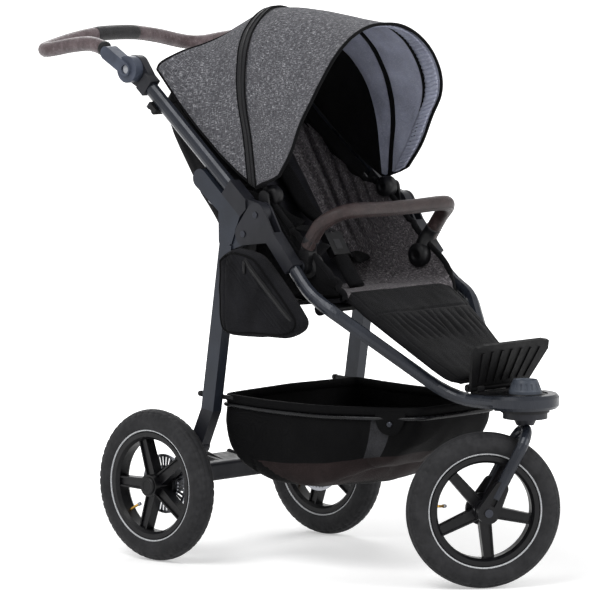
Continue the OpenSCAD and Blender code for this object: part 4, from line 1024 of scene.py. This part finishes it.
def pocket(s, label):
    """Zipped pocket on the outside of the frame, from its outline and a rounded profile of (inset, x)."""
    fy, fz = -16.2, 702.0
    line = [(64, -96), (61, -84), (40, -71), (8, -70), (-30, -78), (-66, -108), (-108, -150), (-138, -184),
            (-147, -198), (-143, -212), (-128, -222), (-100, -229), (-40, -232), (20, -233), (48, -231), (60, -222),
            (64, -200), (65, -150)]
    prof = [(12, 219.2), (4, 219.6), (0.5, 221.5), (0, 225), (-1.5, 234), (-1, 243), (1, 249), (4.5, 253),
            (10, 255.5), (18, 257), (30, 258.5), (45, 259.5), (62, 260), (80, 260.2), (97, 260.2)]
    cols = 240
    c = np.array([fy - 30, fz - 165])
    out = loop(np.array([(fy + a, fz + b) for a, b in line]), cols, 20) - c
    R = np.linalg.norm(out, axis=1, keepdims=True)
    P = []
    for inset, x in prof:
        keep = np.maximum(1 - inset / 100.0, 0.02) if inset > 30 else 1 - inset / R
        P.append(np.concatenate([np.full((cols, 1), x * s), c + out * keep], 1))
    P = catmull(at(np.array(P)), 60)
    N = outward(P, P.mean((0, 1)))
    lift = np.clip((np.abs(P[..., 0]) - 0.222) / 0.01, 0, 1)[..., None]
    P = P + (crumple(P, N, 0.0030, 0.055, 31.0 + s, (1, 1, 0.8)) - P) * lift
    y, z = P[..., 1] - DY, P[..., 2]
    a, b = np.array([fy - 8, fz - 84]) / 1000, np.array([fy - 134, fz - 196]) / 1000
    d = unit(b - a)
    across = (y - a[0]) * -d[1] + (z - a[1]) * d[0]
    seam = bell(y, (fy + 44) / 1000, 0.002) * 0.0018
    for place, width, deep in ((0.014, 0.0016, 0.0016), (0.024, 0.0014, 0.0010), (0.032, 0.0014, 0.0010),
                               (0.040, 0.0014, 0.0010)):
        seam = seam + bell(across, place, width) * deep
    P = P - N * (seam * (np.abs(P[..., 0]) > 0.252))[..., None]
    G = P[::-1] if (normals(P, wrap=True) * N).sum() < 0 else P
    F = rings(len(G), cols)
    F = [(a, d, c, b) for a, b, c, d in F[:-2]] + [cap[::-1] for cap in F[-2:]]
    obj = piece("pocket_" + label, G.reshape(-1, 3), F, CANVAS_GREY, "chassis")
    edge_row = int(np.argmin(np.abs(np.abs(P[:, 0, 0]) - 0.2548)))
    tube("pocket_piping_" + label, P[edge_row], 0.0024, CANVAS_BASKET, "chassis", seg=10, closed=True, up=(1, 0, 0))
    if s < 0:
        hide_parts("side_pockets")
    t = np.linspace(0, 1, 40)[:, None]
    flat = a + (b - a) * t
    zip_line = np.concatenate([s * (0.2598 - 0.004 * abs(2 * t - 1) ** 6), flat + (DY, 0)], 1)
    pull = zip_line[1] + [(s * 0.004, 0.002, 0.0), (s * 0.0046, 0.001, -0.010), (s * 0.003, 0.001, -0.024)]
    for part, path, w, thick, mat in (("", zip_line, 0.011, 0.0022, TAPE_DARK),
                                      ("_coil", zip_line + (s * 0.0014, 0, 0), 0.0046, 0.0016, BLACK),
                                      ("_pull", pull, 0.0075, 0.0022, BLACK)):
        strip("pocket_zip%s_%s" % (part, label), path, (s, 0, 0), w, thick, mat, "chassis", bow=0.0006)


for s, label in SIDES:
    pocket(s, label)


# ---------- leather bars ----------

def both_sides(half, n):
    """Smooth path from the +X end over the middle to the -X end."""
    return catmull(at(half + [(-x, y, z) for x, y, z in half[-2::-1]]), n)


def leather_bar(name, old, body, path, r, mat, seam):
    """Leather sewn round a bar: a closed seam at the angle seam, raised edges and stitches on both sides of it."""
    T = unit(np.gradient(path, axis=0))
    up = np.array((0, 0, 1.0))
    U = unit(up - T * (T @ up)[:, None])
    W = np.cross(T, U)
    seg = 40
    V = []
    a = np.linspace(0, 2 * np.pi, seg, endpoint=False)
    d = abs((a - seam + math.pi) % (2 * math.pi) - math.pi) * r
    rad = r - 0.0009 * bell(d, 0, 0.0011) + 0.0005 * bell(d, 0.0032, 0.0016)
    for p, u, w in zip(path, U, W):
        q = p * 30
        for k in range(seg):
            out = rad[k] + 0.00035 * wobble(q[0], q[1], q[2] + a[k])
            V.append(p + out * (math.cos(a[k]) * u + math.sin(a[k]) * w))
    obj = piece(name, V, rings(len(path), seg), mat, body)
    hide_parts(old)
    step = 1
    for s in (-1, 1):
        ang = seam + s * 0.0032 / r
        D = math.cos(ang) * U + math.sin(ang) * W
        dashes("%s_stitch_%d" % (name, s + 2), path[::step] + D[::step] * (r + 0.0003), D[::step], 0.0040, 0.0018,
               0.00042, THREAD_DARK, body)


grip_path = both_sides([(222, 396, 1011.5), (222, 424, 1019), (222, 452, 1020.5), (222, 500, 1015), (222, 540, 1008),
                        (221, 562, 1005), (213, 580, 1004), (196, 590, 1006), (170, 594, 1011), (120, 595, 1021),
                        (60, 595, 1029), (0, 595, 1031)], 260)
leather_bar("handle_leather", "handle_grip", "handle", grip_path, 0.0145, TAUPE, math.pi)
sleeve = grip_path[np.abs(grip_path[:, 0]) < 0.062]
ends = [0.97, 0.97] + [1.0] * (len(sleeve) - 4) + [0.97, 0.97]
tube("handle_sleeve", sleeve, 0.0153, GRIP_BLACK, "handle", seg=40, scale=ends)
for k, (end, inner) in enumerate((grip_path[:2], grip_path[:-3:-1])):
    d = unit(inner - end)
    tube("handle_collar_%d" % (k + 1), [end + d * q for q in (-0.0012, 0.0005, 0.006, 0.0075)], 0.0152, BLACK,
         "handle", seg=36, scale=[0.97, 1, 1, 0.97])

bar_path = both_sides([(176, -118, 643.5), (176, -126, 655), (176, -136, 670), (175, -149, 686), (169, -166, 699),
                       (157, -182, 709), (140, -192, 714), (110, -195, 715), (60, -195, 713.5), (0, -195, 713)],
                      200)
leather_bar("bumper_leather", "bumper_grip", "bumper_bar", bar_path, 0.0146, BROWN, math.pi * 1.25)

for name, body, c, axis, turn in (("front_valve", "front_wheel", front_hub, FRONT_AXIS, -84),
                                  ("rear_valve_right", "rear_wheel_right", rear_r, (1, 0, 0), -127.5),
                                  ("rear_valve_left", "rear_wheel_left", rear_l, (1, 0, 0), -127.5)):
    valve(name, body, c, axis, turn)


# ---------- small fittings ----------

def hanging_tab(s, label):
    """Cloth tab that holds the basket's front corner, closed with a press stud."""
    mid = np.array([129 * s, -294, 330.0])
    along = unit(np.array([-19.0 * s, -43, 1]))
    out_dir = np.cross(along, (0, 0, 1)) * s
    out_dir *= np.sign(out_dir[0] * s)
    table = ((-8, 30, -3), (-2, 31, 5), (6, 31, 8.5), (18, 29, 10), (30, 24, 10.5), (39, 16, 10), (44, 6, 9))
    rows = [[mid + along * half * t + out_dir * (stand - 2.0 * t * t) - (0, 0, drop) for t in np.linspace(-1, 1, 9)]
            for drop, half, stand in table]
    P = surface(at(np.array(rows)), 22, 26)
    if (normals(P)[..., 0].mean() * s) < 0:
        P = P[:, ::-1]
    obj = shell("basket_tab_" + label, P, 0.002, CANVAS_BASKET, "chassis")
    stud = [(0, 0.0030), (0.0035, 0.0028), (0.0052, 0.0018), (0.0060, 0.0), (0.0058, -0.0012), (0, -0.0014)]
    revolve("basket_stud_" + label, stud, at(mid + out_dir * 11 - (0, 0, 22)), out_dir, STEEL_DARK, "chassis", seg=32)


def hub_cap(name, body, c, s, r, deep):
    """Round joint cover on the seat side of a hinge, with a stepped face."""
    face = [(0, -0.0012), (0.30, -0.0012), (0.34, 0.0), (0.62, 0.0), (0.66, -0.0012), (0.84, -0.0018), (0.96, -0.0052),
            (1.0, -0.0110)]
    profile = [(r * a, deep + b) for a, b in face] + [(r, 0.0), (0, 0.0)]
    revolve(name, profile, c, (-s, 0, 0), BLACK, body, seg=56)


for s, label in SIDES:
    hanging_tab(s, label)
    hub_cap("bumper_hub_" + label, "bumper_bar", at(172 * s, -109, 605), s, 0.0245, 0.030)
    sleeve = [(160 * s, -109, 606), (163 * s, -110, 620), (169 * s, -113, 636), (174.5 * s, -120, 648),
              (175.5 * s, -129, 660.5)]
    tube("bumper_sleeve_" + label, catmull(at(sleeve), 18), 0.0153, BLACK, "bumper_bar", seg=28, up=(1, 0, 0))
    hub_cap("canopy_hub_" + label, "chassis", at(174 * s, -11, 736), s, 0.0210, 0.024)


# ---------- floor, light ----------

def seen(tree, *kinds):
    """1 for rays of these kinds, else 0."""
    ray = node(tree, "LightPath").outputs
    out = ray["Is %s Ray" % kinds[0]]
    for kind in kinds[1:]:
        out = node(tree, "Math", {0: out, 1: ray["Is %s Ray" % kind]}, operation="MAXIMUM").outputs[0]
    return out


def floor():
    """White floor that glows more away from the stroller, so that it ends nowhere but keeps the shadow."""
    m = Mat("floor", 0.85, spec=0.2)
    m.colour((0.93, 0.93, 0.93, 1))
    far = node(m.t, "VectorMath", {0: m.coord.outputs["Object"]}, operation="LENGTH").outputs["Value"]
    glow = node(m.t, "MapRange", {"Value": far, "From Min": 0.5, "From Max": 2.2, "To Min": 0.36, "To Max": 1.0},
                interpolation_type="SMOOTHSTEP").outputs["Result"]
    light = node(m.t, "Emission", {"Color": (1, 1, 1, 1), "Strength": m.times(seen(m.t, "Camera", "Glossy"), glow)})
    both = node(m.t, "AddShader", {0: m.t.nodes["Principled BSDF"].outputs[0], 1: light.outputs[0]})
    feed(m.t, m.t.nodes["Material Output"].inputs["Surface"], both.outputs[0])
    s = 30
    piece("floor", [(-s, -s, 0), (s, -s, 0), (s, s, 0), (-s, s, 0)], [(0, 1, 2, 3)], m.m, flat=True)


def sky():
    """White behind the stroller, dimmer as a light on it."""
    world = bpy.data.worlds.new("world")
    bpy.context.scene.world = world
    world.use_nodes = True
    t = world.node_tree
    share = node(t, "MapRange", {"Value": seen(t, "Camera", "Glossy", "Transmission"), "To Min": 0.42, "To Max": 1.0})
    feed(t, t.nodes["Background"].inputs["Strength"], share.outputs[0])
    feed(t, t.nodes["Background"].inputs["Color"], (1, 1, 1, 1))


def softbox(name, place, aim, size, power):
    """Rectangular lamp that looks at aim."""
    data = bpy.data.lights.new(name, "AREA")
    data.shape = "RECTANGLE"
    data.size, data.size_y = size
    data.energy = power
    obj = bpy.data.objects.new(name, data)
    bpy.context.scene.collection.objects.link(obj)
    obj.location = place
    obj.rotation_euler = (Vector(aim) - Vector(place)).to_track_quat("-Z", "Y").to_euler()


floor()
sky()
softbox("key", (-3.2, -0.6, 4.2), (0, -0.1, 0.5), (3.0, 2.2), 130)
softbox("fill", (1.1, -4.6, 2.2), (0, -0.1, 0.6), (2.6, 2.2), 84)
softbox("rim", (2.6, 3.2, 3.2), (0, 0, 0.6), (2.2, 2.2), 60)
